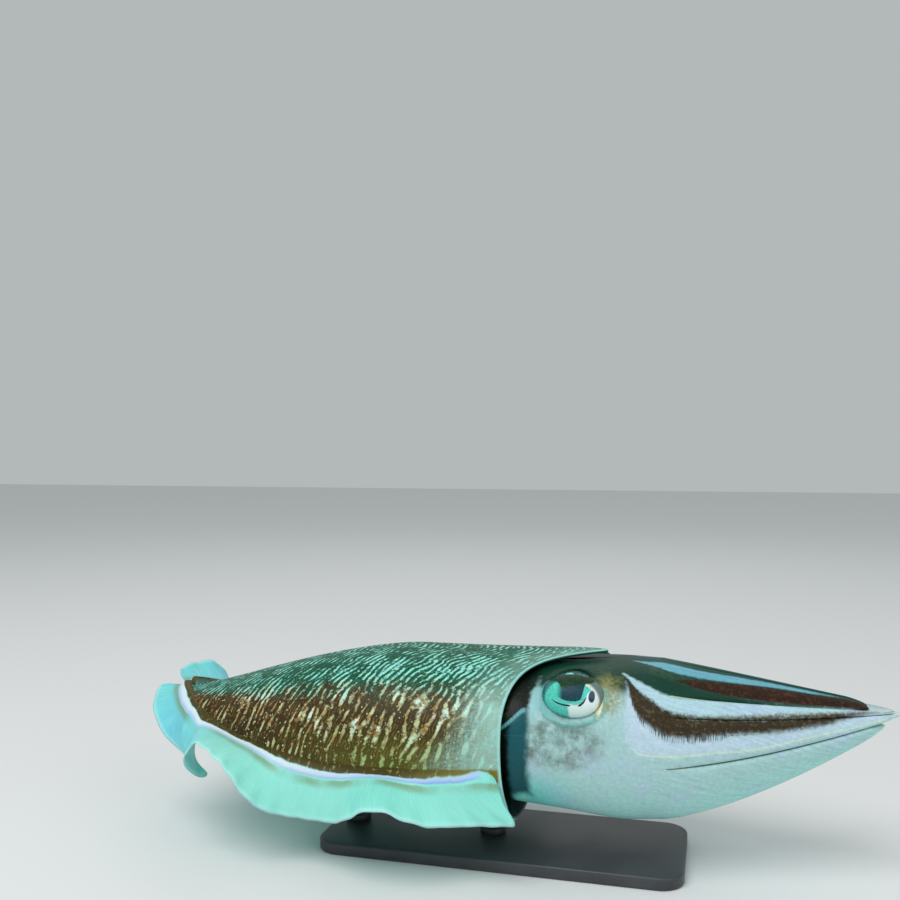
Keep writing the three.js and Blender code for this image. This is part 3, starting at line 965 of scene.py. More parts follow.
def arc_lengths(points: Array, axis: int) -> Array:
    """How far along each line of a sheet its points lie: axis 0 is along, and 1 across."""
    steps = np.linalg.norm(np.diff(points, axis=axis), axis=-1)
    return np.concatenate([np.zeros_like(steps.take([0], axis)), np.cumsum(steps, axis)], axis)


# Middles of the pale blotches on the flank: place from the tail, and turn from the back line
BLOTCHES = (
    (83, 50), (134, 53), (143, 47), (181.5, 47), (197, 55), (211, 62), (193, 73), (68, 42),
    (67, 53), (171, 69), (155, 67), (168, 75), (223, 54), (217, 58), (226, 38.5), (219, 51),
    (234, 45), (118, 61), (130, 71), (135.5, 35), (155, 26), (169.5, 41), (173, 30), (197, 28),
    (208, 33.5), (221, 30), (229, 22), (244, 32),
)


def blotches(x: Array, turn: Array, size: float = 6.5) -> Array:
    """How deep inside a pale blotch each place of the mantle lies.

    Args:
        x: Distances from the tail.
        turn: Turns from the back line in degrees.
        size: The blotches' half size.

    Returns:
        The depths, from 0 to 1.
    """
    depth = np.zeros_like(x)
    for at, where in BLOTCHES:
        away = ((x - at) ** 2 + (turn - where) ** 2) / size**2
        depth = np.maximum(depth, np.exp(-away))
    return depth


@dataclass(frozen=True)
class MantleForm:
    """The mantle: a broad dome over a flat belly, with an open front round the neck."""

    length: float = 310
    half_width: float = 67
    dome: float = 68
    belly: float = 33
    widest_at: float = 0.6
    tail_sag: float = 3
    flank_sag: float = 29
    flank_rise: float = 10
    roundness: float = 2.15
    margin_base: float = 248.5
    tongue_reach: float = 61.5
    tongue_spread: float = 21
    wall: float = 2.4
    pocket_wall: float = 6
    pocket_floor: float = 226
    floor_rings: tuple[float, ...] = (0.6, 0.3, 0)
    lip_rows: int = 8
    steps: int = 150
    around: int = 152

    def sizes(self, x: Array) -> tuple[Array, Array, Array]:
        """The section's sizes about the widest line.

        Args:
            x: Distances from the tail.

        Returns:
            Half width, height above the line and depth below it.
        """
        u = np.clip(x / self.length, 0, 1)
        rear = 1 - ((self.widest_at - np.minimum(u, self.widest_at)) / self.widest_at) ** 2
        front = np.clip((u - self.widest_at) / (1 - self.widest_at), 0, 1)
        return (
            self.half_width * rear**0.56 * (1 - 0.12 * front**2),
            self.dome * rear**1.25 * (1 - 0.1 * front**2),
            self.belly * rear**0.55 * (1 + 0.62 * front),
        )

    def widest_height(self, x: Array) -> Array:
        """How high the widest line lies.

        Args:
            x: Distances from the tail.

        Returns:
            The heights.
        """
        u = np.clip(x / self.length, 0, 1)
        sag = np.sin(np.clip(u / 0.5, 0, 1) * np.pi / 2) ** 0.9
        rise = np.clip((u - self.widest_at) / 0.4, 0, 1) ** 2
        return -self.tail_sag - self.flank_sag * sag + self.flank_rise * rise

    def margin(self, angle: Array) -> Array:
        """How far ahead the front edge lies.

        Args:
            angle: Angles from the left flank.

        Returns:
            Its distances from the tail.
        """
        off = np.abs(np.arctan2(np.sin(angle - np.pi / 2), np.cos(angle - np.pi / 2)))
        tongue = np.exp(-((off / math.radians(self.tongue_spread)) ** 1.25))
        below = 5 * np.clip(off / math.radians(60) - 1, 0, 1)
        return self.margin_base + self.tongue_reach * tongue + below

    def point(self, x: Array, angle: Array, grow: Array) -> Array:
        """Points of the outside.

        Args:
            x: Distances from the tail.
            angle: Angles from the left flank.
            grow: How far each point is swollen.

        Returns:
            The points.
        """
        width, top, bottom = self.sizes(x)
        c, s = rounded_unit(angle, self.roundness)
        tall = np.where(s >= 0, top, bottom)
        height = s * (tall + grow) + self.widest_height(x)
        return np.stack(np.broadcast_arrays(x, c * (width + grow), height), -1)

    def profile(self, margin: Array) -> tuple[Array, Array]:
        """The sheet's run from the tail end, over the front edge and into the pocket.

        Args:
            margin: The front edge's distance from the tail in each column.

        Returns:
            Each point's distance from the tail, and how far it is swollen.
        """
        half = self.wall / 2
        share = (np.arange(self.steps + 1) / self.steps)[:, None] ** 1.25
        outside = margin * share
        outside[-1] = margin[0] - half
        bow = np.linspace(0, np.pi, self.lip_rows + 1)[1:, None]
        inward = np.linspace(0, 1, self.lip_rows + 1)[1:, None]
        lip = margin - half + half * np.sin(bow)
        pocket = lerp(margin - half, self.pocket_floor, inward)
        grow = (0 * share, half * np.cos(bow) - half, -lerp(self.wall, self.pocket_wall, inward))
        x = np.concatenate([outside, lip, pocket])
        return x, np.broadcast_to(np.concatenate(grow), x.shape)

    def fields(self, x: Array, angle: Array, across: Array) -> dict[str, Array]:
        """What the mantle's finish reads at each point.

        Args:
            x: The points' distances from the tail.
            angle: The columns' angles from the left flank.
            across: The points' arcs from the back line.

        Returns:
            A value at each point for each field's name.
        """
        margin = self.margin(angle)
        first_inner = self.steps + self.lip_rows // 2
        inner = (np.arange(len(x)) >= first_inner)[:, None] * 1.0
        turn = np.degrees(np.abs(angle - np.pi / 2))
        run = np.clip(x / margin / ROOT_END, 0, 1) ** (ROOT_BOW / ROOT_EASE)
        root_turn = ROOT_TURN + ROOT_RISE * np.sin(np.pi * run)
        half = self.around // 2
        rows = zip(root_turn, across)
        root_arc = [np.interp(turns[half], turn[0, half:], row[half:]) for turns, row in rows]
        turn = np.broadcast_to(turn, x.shape)
        return {
            "along": x,
            "turn": turn,
            "edge": margin - x,
            "inner": np.broadcast_to(inner, x.shape),
            "root_line": np.array(root_arc)[:, None] - np.abs(across),
            "blotch": blotches(x, turn),
        }

    def build(self, axes: BodyAxes) -> Piece:
        """The outside, the rounded front edge and the pocket round the neck, as one sheet.

        Args:
            axes: Where the body's axes lie.

        Returns:
            The sheet as an object.
        """
        u = np.linspace(-1, 1, self.around + 1)
        angle = (np.pi / 2 + np.pi * np.sign(u) * (0.6 * np.abs(u) + 0.4 * u * u))[None, :]
        x, grow = self.profile(self.margin(angle))
        points = self.point(x, np.broadcast_to(angle, x.shape), grow)
        across = arc_lengths(points, 1)
        across -= across[:, self.around // 2][:, None]
        flank = self.flank_line()
        run = np.interp(x, flank[1:, 0], arc_lengths(flank, 0)[1:])
        fields = self.fields(x, angle, across)
        floor = points[-1:]
        middle = floor[:, :-1].mean(axis=1, keepdims=True)
        for share in self.floor_rings:
            points = np.concatenate([points, lerp(middle, floor, share)])
            run = np.concatenate([run, run[-1:]])
            across = np.concatenate([across, across[-1:] * share])
            fields = {name: np.concatenate([v, v[-1:]]) for name, v in fields.items()}
        flow = np.stack([run, across], -1) * CM_PER_MM
        return Sheet("mantle_skin", points, flow, Finish.MANTLE, fields).build(axes)

    def flank_line(self) -> Array:
        """The flank's outline seen from above, which measures the run of the markings."""
        x = np.linspace(0, 1, 400) ** 2 * (self.length + 5)
        return np.stack([x, self.sizes(x)[0]], -1)


# Fin columns from the front to the tail end: place along the root, slope at the root, how much
# the slope changes out to the edge (degrees), width, and forward drift of the edge
FIN_RIGHT = np.array(
    [
        [0, -66, -10, 27, 27], [0.1, -66, -14, 28, 15], [0.2, -12, -14, 34, 7],
        [0.3, -58, -16, 32, 0], [0.4, -60, -16, 34, -4], [0.5, -4, -10, 36, 4],
        [0.57, 10, -10, 35, 6], [0.62, 12, -16, 34, 6], [0.67, 4, -60, 38, 10],
        [0.71, -22, -110, 42, 12], [0.76, -20, -110, 42, 12], [0.8, -46, -60, 34, 6],
        [0.86, -52, 10, 27, 0], [0.91, -34, 14, 24, -2], [0.96, -12, 14, 20, -2],
        [1, 24, 16, 13, 0],
    ],
    float,
)
FIN_LEFT = np.array(
    [
        [0, -60, -10, 26, 24], [0.12, -66, -12, 34, 11], [0.25, -30, 6, 35, 0],
        [0.38, -64, -14, 36, -4], [0.5, -52, -10, 36, 0], [0.62, -8, 10, 35, 2],
        [0.72, -46, -14, 34, 0], [0.82, 22, 14, 30, 0], [0.9, 26, 14, 26, 0], [1, 24, 16, 13, 0],
    ],
    float,
)


# Where the middle of the pale line lies on each fin: place from the tail, and millimetres out
FIN_LINE = np.array(
    [
        [0, 1], [16, 3.1], [27, 5], [36, 6.7], [60, 5.5], [88, 4.5], [134, 4.7],
        [157, 5.1], [180, 5.4], [195, 4.6], [214, 3], [239, 1.5],
    ],
    float,
)


@dataclass(frozen=True)
class FinForm:
    """One fin: a soft waving sheet that runs the length of a flank."""

    side: Side
    table: Array
    root_thick: float = 6
    edge_thick: float = 0.9
    sunk: float = 5
    bend: float = 0.2
    end: float = ROOT_END
    ripple: float = 0.7
    ripple_run: float = 13
    root_flare: float = 2.6
    front_round: float = 0.03
    rear_round: float = 0.02
    probe_along: float = 0.004
    probe_out: float = 0.02
    top_apart: float = 40
    side_apart: float = 90
    columns: int = 170
    rows: int = 18

    def root(self, s: Array) -> Array:
        """The line where the fin leaves the flank.

        Args:
            s: Places along it, from the front at 0 to the tail end at 1.

        Returns:
            The points.
        """
        mantle = MantleForm()
        along = ROOT_END * (1 - s) ** ROOT_EASE
        angle = np.radians(90 + ROOT_TURN + ROOT_RISE * np.sin(np.pi * (1 - s) ** ROOT_BOW))
        point = mantle.point(mantle.margin(angle) * along, angle, np.zeros_like(s))
        return point * np.array([1, -self.side.value, 1])

    def middle(self, s: Array, v: Array) -> Array:
        """The fin's middle sheet.

        Args:
            s: Places along the root.
            v: Places out from it, 0 at the root and 1 at the free edge.

        Returns:
            The points.
        """
        s, v = np.broadcast_arrays(s, v)
        step = 1e-3
        travel = self.root(np.minimum(s + step, 1)) - self.root(np.maximum(s - step, 0))
        travel[..., 2] = 0
        travel /= np.linalg.norm(travel, axis=-1, keepdims=True)
        turned = np.stack([-travel[..., 1], travel[..., 0], np.zeros_like(s)], -1)
        outward = turned * -self.side.value
        slope, curl, width, drift = (smooth_column(self.table, s, k) for k in (1, 2, 3, 4))
        root = self.root(s)
        sunk = root + outward * (self.sunk * v)[..., None]
        point = root.copy()
        pieces = 12
        for i in range(pieces):
            at = v * (i + 0.5) / pieces
            bent = 1 - (1 - np.clip(at / self.bend, 0, 1)) ** 2
            angle = np.radians(slope + curl * at) * bent
            reach = width * v / pieces
            point += outward * (reach * np.cos(angle))[..., None]
            point[..., 2] += reach * np.sin(angle)
        point -= travel * (drift * v * v)[..., None]
        return np.where((v < 0)[..., None], sunk, point)

    def fullness(self, s: Array) -> Array:
        """The fin's share of its width, which falls off roundly at both ends."""
        front = np.clip(s / self.front_round, 0, 1)
        rear = np.clip((self.end - s) / self.rear_round, 0, 1)
        return np.sqrt(1 - (1 - np.minimum(front, rear)) ** 2)

    def rippled(self, s: Array, v: Array) -> tuple[Array, Array]:
        """The middle sheet with its edge rippled.

        Args:
            s: Places along the root.
            v: Places out from the root.

        Returns:
            The sheet's points and its normals.
        """
        middle = self.middle(s, v)
        back, on = np.maximum(s - self.probe_along, 0), np.minimum(s + self.probe_along, 1)
        along = self.middle(on, v) - self.middle(back, v)
        across = self.middle(s, v + self.probe_out) - self.middle(s, v - self.probe_out)
        normal = np.cross(along, across)
        normal /= np.maximum(np.linalg.norm(normal, axis=-1, keepdims=True), 1e-9)
        normal *= np.sign(normal[:, 2:3, 2:3])
        run = arc_lengths(middle, 0)[:, self.rows // 2][:, None]
        wave = np.sin(2 * np.pi * run / self.ripple_run + 1.3 * np.sin(run / 31))
        wave = wave * self.ripple * smoothstep(0.45, 1, v) * self.fullness(s)
        return middle + normal * wave[..., None], normal

    def build(self, axes: BodyAxes) -> Piece:
        """Both faces and the rounded free edge, folded from one sheet.

        Args:
            axes: Where the body's axes lie.

        Returns:
            The sheet as an object.
        """
        s = (self.end * np.arange(self.columns + 1) / self.columns)[:, None]
        full = self.fullness(s)
        share = (np.arange(self.rows + 1) / self.rows)[None, :] ** 0.85
        spread = np.concatenate([[[-1.0]], share], axis=1)
        v = np.where(spread > 0, spread * full, spread)
        middle, normal = self.rippled(s, v)
        run = arc_lengths(self.middle(s, v), 0)[:, self.rows // 2][:, None]
        flare = self.root_flare * np.exp(-np.maximum(v, 0) / 0.07)
        half = lerp(self.root_thick, self.edge_thick, np.clip(v, 0, 1) ** 0.6) / 2 + flare
        half = half * np.clip(full * 1.02, 0.05, 1)
        half[:, -1] = 0
        points = folded(middle - normal * half[..., None], middle + normal * half[..., None])
        out = v * smooth_column(self.table, s, 3)
        top = folded(np.zeros_like(v), np.ones_like(v))
        fields = {
            "along": points[..., 0],
            "line_at": smooth_column(FIN_LINE, points[..., 0], 1),
            "out": folded(v, v),
            "out_mm": folded(out, out),
            "top": top,
        }
        apart = self.top_apart * top + self.side_apart * (self.side is Side.LEFT)
        run = np.broadcast_to(run, top.shape)
        flow = np.stack([run, fields["out_mm"] + apart], -1) * CM_PER_MM
        name = f"fin_{self.side.name.lower()}_skin"
        return Sheet(name, points, flow, Finish.FIN, fields).build(axes)


@dataclass(frozen=True)
class Arm:
    """One arm of a pair: its share of the bundle in degrees from the back line, and its end."""

    name: str
    start: float
    stop: float
    end: float
    quads: int

    @property
    def middle(self) -> float:
        """The turn of the arm's middle, in radians."""
        return math.radians(self.start + self.stop) / 2

    @property
    def half(self) -> float:
        """Half of the arm's share, in radians."""
        return math.radians(self.stop - self.start) / 2


ARMS = (
    Arm("arm_1", 0, 46, 470, 25),
    Arm("arm_2", 46, 62, 485, 9),
    Arm("arm_3", 62, 98, 489, 19),
    Arm("arm_4", 98, 180, 479, 44),
)
# Sections of the head: distance from the tail, half width, top and bottom
HEAD_SECTIONS = np.array(
    [
        [226.3, 55, 25, -57], [245, 55, 28, -60.5], [265, 56, 30, -62], [292, 57, 32, -64],
        [318, 55, 34, -67], [345, 49, 34, -66],
    ],
    float,
)


@dataclass(frozen=True)
class Band:
    """A long mark on the arms between two lines, each a place and a turn from the back line."""

    low: Path
    high: Path
    start: float
    stop: float

    def depth(self, x: Array, turn: Array, per_degree: Array) -> Array:
        """How many millimetres inside the mark each place lies.

        Args:
            x: Distances from the tail.
            turn: Turns from the back line in degrees.
            per_degree: Millimetres of skin for each degree.

        Returns:
            The depths, which are below 0 outside the mark.
        """
        low, high = path_height(self.low, x), path_height(self.high, x)
        inside = np.minimum(turn - low, high - turn) * per_degree
        return np.minimum(inside, np.minimum(x - self.start, self.stop - x))


@dataclass(frozen=True)
class Line:
    """A thin line along the arms, as places and turns."""

    path: Path
    start: float
    stop: float

    def offset(self, x: Array, turn: Array, per_degree: Array) -> Array:
        """Millimetres from the line, with a sign for the side of it.

        Args:
            x: Distances from the tail.
            turn: Turns from the back line in degrees.
            per_degree: Millimetres of skin for each degree.

        Returns:
            The offsets, which grow beyond the line's ends.
        """
        across = (turn - path_height(self.path, x)) * per_degree
        beyond = np.maximum(np.maximum(self.start - x, x - self.stop), 0)
        return across + np.where(across < 0, -beyond, beyond)


@dataclass(frozen=True)
class Patch:
    """An oval mark on the side of the head, by its middle and half sizes."""

    x: float
    z: float
    half_x: float
    half_z: float

    def depth(self, x: Array, z: Array) -> Array:
        """How many millimetres inside the mark each place lies, about."""
        away = np.hypot((x - self.x) / self.half_x, (z - self.z) / self.half_z)
        return (1 - away) * min(self.half_x, self.half_z)


# Outlines of the arms' stripes: distance from the tail, and turn from the back line in degrees
RUSSET_HIGH = (
    (352, 33), (360, 35), (369, 38), (378, 40), (390, 42), (413, 43.5), (436, 44), (455, 43), (468, 42),
)
BROWN_LOW = (
    (325, 36), (329, 40), (333.4, 44.5), (342.7, 52.6), (350, 57.6), (366, 61.3),
    (389, 61.7), (412, 61.7), (434, 59.8), (452, 56), (470, 55),
)
BROWN_HIGH = (
    (325, 37), (326.8, 43), (329, 52.6), (332.9, 62), (338.9, 68), (347.8, 74.6),
    (361.3, 76.8), (378, 75.7), (400, 76.1), (422.7, 76.7), (445.7, 73.3), (466, 61.4), (474, 55),
)
WHITE_TWO_HIGH = (
    (322, 28), (328, 37), (333, 44.5), (342.7, 52.6), (350, 57.6), (366, 60),
    (389, 59.1), (412, 57.5), (434, 55.2), (458, 52.7), (482, 50),
)
PALE_EDGE = (
    (326, 78), (331, 84.6), (335.6, 87.4), (355.5, 89), (378, 88.3), (400.5, 90), (434, 87),
    (468, 84.3), (489, 80),
)
ARM_BANDS = {
    "blue": Band(
        ((326, 8), (336, 9), (350, 9), (369, 12.5), (390, 11), (413, 9), (436, 10), (452, 13)),
        ((326, 8), (336, 14), (350, 22), (369, 25), (390, 24), (413, 20.5), (436, 18.5), (452, 13)),
        326, 452,
    ),
    "russet": Band(
        ((352, 33), (360, 30), (369, 28), (390, 25), (413, 21.5), (436, 20), (455, 17), (468, 14)),
        RUSSET_HIGH, 352, 470,
    ),
    "border": Band(
        ((315, 14), (325, 20), (338, 27), (350, 33), (360, 36), (369, 39.5), *RUSSET_HIGH[3:]),
        (
            (315, 20), (325, 26.3), (338, 38.7), (349.6, 45.6), (369, 47), (389, 46.6), (412, 46.1),
            (434, 45.1), (458, 42),
        ),
        315, 462,
    ),
    "white_two": Band(
        (
            (322, 27), (326, 30.7), (338, 39.6), (349.7, 46.8), (369, 48),
            (389, 47.3), (412, 46.8), (434, 46), (458, 45), (482, 45),
        ),
        WHITE_TWO_HIGH, 322, 482,
    ),
    "lilac_two": Band(WHITE_TWO_HIGH[4:], ((350, 57.6), (366, 62), (489, 62)), 350, 486),
    "brown": Band(BROWN_LOW, BROWN_HIGH, 325, 474),
    "white_three": Band(BROWN_HIGH, PALE_EDGE, 326, 489),
}
ARM_LINES = {
    "hatch": Line(BROWN_HIGH, 334, 384),
    "yellow_line": Line(PALE_EDGE, 331, 480),
    "groove_line": Line(((318, 98), (489, 98)), 350, 486),
    "border_line": Line(((340, 46.4), (400, 46.5), (462, 45.6)), 352, 462),
}
# Heights over the distance from the tail: the brow's lower edge and the collar's upper edge
BROW_LINE = (
    (250, 17), (262, 17), (270, 20), (280, 25), (293, 26.5), (303, 25), (312, 24), (326, 21.5), (338, 25),
)
COLLAR_EDGE = ((240, -9), (252, -1), (262, 8), (270, 10))
EYE_PATCHES = {
    "lid_gold": Patch(309.5, 15, 2.2, 7),
    "lid_spot": Patch(288, 25.5, 3.2, 1.6),
    "crescent": Patch(270, 13, 2.8, 9),
    "ochre": Patch(312, 19, 11, 9),
}
CHEEK = Patch(285, -9, 25, 15)
# Millimetres for one unit of the eye's range, near the lids
LID_DEPTH = 13


@dataclass(frozen=True)
class HeadForm:
    """The head with its lids and the bundle of eight arms that it runs into."""

    start: float = 226.6
    root: float = 345
    split: float = 378
    tip: float = 492
    root_half_width: float = 49
    root_top: float = 34
    root_bottom: float = -66
    tip_height: float = 9
    tip_radius: float = 2
    hollow: float = 0.42
    bulge: float = 0.05
    mouth_depth: float = 9
    roundness: float = 2.25
    gap: float = 0.3
    corner: float = 2.4
    close_run: float = 14
    eye_x: float = 293
    eye_y: float = 44
    eye_z: float = 17
    eye_long: float = 20
    eye_deep: float = 14
    eye_tall: float = 13.5
    open_long: float = 17.7
    open_tall: float = 12.9
    eye_swell: float = 6
    wall_rows: int = 4
    corner_rows: int = 3
    inner_rows: int = 8

    def sizes(self, x: Array) -> tuple[Array, Array, Array]:
        """The sizes of the head, or of the bundle past the arms' roots.

        Args:
            x: Distances from the tail.

        Returns:
            Half width, top and bottom.
        """
        width, top, bottom = (smooth_column(HEAD_SECTIONS, x, k) for k in (1, 2, 3))
        t = np.clip((x - self.root) / (self.tip - self.root), 0, 1)
        far_top = lerp(self.root_top, self.tip_height + self.tip_radius, t**1.05)
        far_bottom = lerp(self.root_bottom, self.tip_height - self.tip_radius, t**1.4)
        far_width = (self.root_half_width - self.tip_radius) * (1 - t) ** 0.8 + self.tip_radius
        far = x > self.root
        return (
            np.where(far, far_width, width),
            np.where(far, far_top, top),
            np.where(far, far_bottom, bottom),
        )

    def mean_radius(self, x: Array) -> Array:
        """The section's mean radius at a distance from the tail."""
        width, top, bottom = self.sizes(x)
        return (width + (top - bottom) / 2) / 2

    def point(self, x: Array, turn: Array, depth: Array, side: Side) -> Array:
        """Points of the head and of the bundle.

        Args:
            x: Distances from the tail.
            turn: Turns from the back line in radians.
            depth: 1 on the outside and 0 in the middle.
            side: Which side the points are on.

        Returns:
            The points.
        """
        width, top, bottom = self.sizes(x)
        c, s = rounded_unit(np.pi / 2 - turn, self.roundness)
        z = (top + bottom) / 2 + s * (top - bottom) / 2
        near = bell(x, self.eye_x, 27) * bell(z, self.eye_z, 21)
        reach = c * width + self.eye_swell * near * np.sqrt(np.clip(c, 0, None))
        height = lerp((top + bottom) / 2, z, depth)
        return np.stack(np.broadcast_arrays(x, side.value * depth * reach, height), -1)

    def stations(self, arm: Arm) -> tuple[Array, Array]:
        """Where an arm's sheet has its columns.

        Args:
            arm: The arm whose end the columns run out to.

        Returns:
            Distances from the tail, and how far out of the middle each column lies.
        """
        neck = np.linspace(self.start, 268, 24)
        face = np.linspace(268, 318, 63)[1:]
        cheek = np.linspace(318, self.root, 17)[1:]
        root = np.linspace(self.root, self.split, 20)[1:]
        t = np.linspace(0, 1, 46)[1:]
        rest = lerp(self.split, arm.end, 1 - (1 - t) ** 1.5)
        x = np.concatenate([np.full(3, self.start), neck, face, cheek, root, rest])
        out = np.ones_like(x)
        out[:3] = (0, 0.4, 0.75)
        return x, out

    def section(self, arm: Arm) -> dict[str, Array]:
        """How an arm's rows are shared between its side walls, its corners and its outer face.

        Args:
            arm: The arm.

        Returns:
            Each row's place, by what it says.
        """
        theta = np.linspace(0, np.pi / 2, self.corner_rows + 1)
        wall, ends = np.ones(self.wall_rows), np.ones(self.corner_rows + 1)
        top = np.linspace(0, 1, arm.quads + 1)[1:-1]
        inset = 1 - np.cos(theta)
        fall = 1 - np.sin(theta)
        down = 1 - np.arange(self.wall_rows) / self.wall_rows
        none = np.zeros_like(top)
        return {
            "first": np.concatenate([wall * 0, inset, none + 1, ends, wall]),
            "share": np.concatenate([wall * 0, ends * 0, top, ends, wall]),
            "last": np.concatenate([wall * 0, ends * 0, none, (1 - inset)[::-1], wall]),
            "fall": np.concatenate([wall, fall, none, fall[::-1], wall]),
            "wall": np.concatenate([down, ends * 0, none, ends * 0, down[::-1]]),
        }

    def opened(self, x: Array) -> Array:
        """How far the grooves between the arms have opened, from 0 on the head to 1."""
        return smoothstep(self.root - 2, self.split, x)

    def parted(self, x: Array) -> Array:
        """How far the arms have come apart down to their inner faces, from 0 to 1."""
        return smoothstep(self.split, self.split + 8, x)

    def closing(self, x: Array, arm: Arm) -> Array:
        """How full the arm is near its tip, from 1 down to 0 at its end."""
        t = np.clip((x - arm.end + self.close_run) / self.close_run, 0, 1)
        return np.sqrt(1 - t**2)

    def arm_sheet(self, arm: Arm, side: Side) -> Sheet:
        """An arm's outer face and walls, run back over the head to the neck's root.

        Args:
            arm: The arm.
            side: Which side it is on.

        Returns:
            The sheet.
        """
        x, out = (values[:, None] for values in self.stations(arm))
        rows = {name: values[None, :] for name, values in self.section(arm).items()}
        mean = self.mean_radius(x)
        half_mm = arm.half * mean
        corner = np.minimum(self.corner, 0.3 * half_mm)
        d = corner * (rows["first"] + rows["last"]) + (2 * half_mm - 2 * corner) * rows["share"]
        opened = self.opened(x)
        gap = self.gap / 2 * np.maximum(opened * (1 - rows["wall"]), self.parted(x))
        turn = arm.middle + (d - half_mm) / mean * (1 - gap / half_mm)
        drop = corner * opened * (rows["fall"] - rows["wall"]) / mean
        depth = 1 - drop - (1 - self.hollow) * opened * rows["wall"]
        close = self.closing(x, arm)
        depth = lerp((1 + self.hollow) / 2, depth, close)
        turn = lerp(arm.middle, turn, close)
        full_x = np.broadcast_to(x, turn.shape)
        flat = self.point(full_x, np.clip(turn, 0, np.pi), np.ones_like(turn), side)
        points = self.point(full_x, np.clip(turn, 0, np.pi), depth * out, side)
        points = self.shaped(points, full_x, turn, side, out * np.ones_like(turn))
        flow = np.stack([full_x, side.value * self.ring_lengths(full_x, turn)], -1) * CM_PER_MM
        fields = self.fields(flat, full_x, turn)
        fields["inner"] = np.broadcast_to(rows["wall"], turn.shape) * opened
        return Sheet(f"{arm.name}_{side.name.lower()}_skin", points, flow, Finish.HEAD, fields)

    def ring_lengths(self, x: Array, turn: Array) -> Array:
        """The arc from the back line round to a turn, on the outside.

        Args:
            x: Distances from the tail.
            turn: Turns from the back line in radians.

        Returns:
            The lengths.
        """
        share = np.linspace(0, 1, 25)
        turns = np.clip(turn, 0, np.pi)[..., None] * share
        wide = np.broadcast_to(x[..., None], turns.shape)
        ring = self.point(wide, turns, np.ones_like(turns), Side.LEFT)
        return np.linalg.norm(np.diff(ring, axis=-2), axis=-1).sum(-1)

    def fields(self, flat: Array, x: Array, turn: Array) -> dict[str, Array]:
        """What the head's finish reads at each point.

        Args:
            flat: The points before the lids and folds are raised.
            x: Their distances from the tail.
            turn: Their turns from the back line in radians.

        Returns:
            A value at each point for each field's name.
        """
        degrees, z = np.degrees(turn), flat[..., 2]
        per_degree = self.mean_radius(x) * math.pi / 180
        made = {"along": x, "turn": degrees}
        for name, band in ARM_BANDS.items():
            made[name] = band.depth(x, degrees, per_degree)
        for name, line in ARM_LINES.items():
            made[name] = line.offset(x, degrees, per_degree)
        lids, edge = self.eye_range(x, z), path_height(COLLAR_EDGE, x)
        brow = np.minimum(np.minimum(x - 258, 338 - x), z - path_height(BROW_LINE, x))
        # Behind the eye above the collar: the head's dark skin with painted shadow from the mantle's
        # edge.
        behind = np.minimum(266.5 - x, z - edge)
        low_lid = np.minimum(1.1 - np.abs(lids - 1.16) * LID_DEPTH, np.minimum(5 - z, 307 - x))
        about_eye = {
            "lid": 1.5 - np.abs(lids - 1.14) * LID_DEPTH,
            "lid_line": low_lid,
            **{name: patch.depth(x, z) for name, patch in EYE_PATCHES.items()},
        }
        on_side = np.minimum(degrees - 12, 104 - degrees) * per_degree
        made.update({name: np.minimum(depth, on_side) for name, depth in about_eye.items()})
        # The dark mark: the brow's dark skin, plus painted shadow behind the eye and on the head up to
        # 254 mm from the tail, in and just out of the mantle's pocket.
        made["dark"] = np.maximum(np.maximum(brow, behind), 254 - x)
        made["cheek"] = CHEEK.depth(x, z)
        made["collar"] = np.minimum(np.minimum(edge - z, z + 46), 266 - x)
        made["collar_edge"] = np.minimum(1.3 - np.abs(z - edge), 264 - x)
        return made

    def eye_range(self, x: Array, z: Array) -> Array:
        """How far a place is from the eye's middle: 1 on the line of the lids."""
        return np.hypot((x - self.eye_x) / self.open_long, (z - self.eye_z) / self.open_tall)

    def shaped(
        self, points: Array, x: Array, turn: Array, side: Side, out: Array
    ) -> Array:
        """Adds the lids, the brow and the collar's fold to the head.

        Args:
            points: The plain head's points.
            x: Their distances from the tail.
            turn: Their turns from the back line.
            side: Which side of the head they are on.
            out: How far out of the middle they lie.

        Returns:
            The shaped points.
        """
        z = points[..., 2]
        t = self.eye_range(x, z)
        above = smoothstep(-0.2, 0.8, (z - self.eye_z) / self.open_tall)
        on_side = smoothstep(math.radians(100), math.radians(85), turn) * (out > 0.9)
        crest = bell(t, 1.16, 0.16) * lerp(1.5, 2.6, above)
        soft = bell(t, 1.55, 0.22) * 0.7
        dive = smoothstep(1.06, 0.8, t) * 9
        push = (crest + soft - dive) * on_side
        fold_x = 257 + 3 * np.sin(z / 17)
        low = smoothstep(8, -8, z) * smoothstep(math.radians(150), math.radians(125), turn)
        ridge, groove = bell(x, fold_x, 3.2), bell(x, fold_x + 8, 3.0)
        fold = (1.6 * ridge - 0.9 * groove) * low
        c, s = np.sin(turn), np.cos(turn)
        outward = np.stack([np.zeros_like(c), side.value * c, s], -1)
        sideways = np.array([0, side.value, 0])
        moved = points + sideways * push[..., None]
        return moved + outward * (fold * (out > 0.9))[..., None]

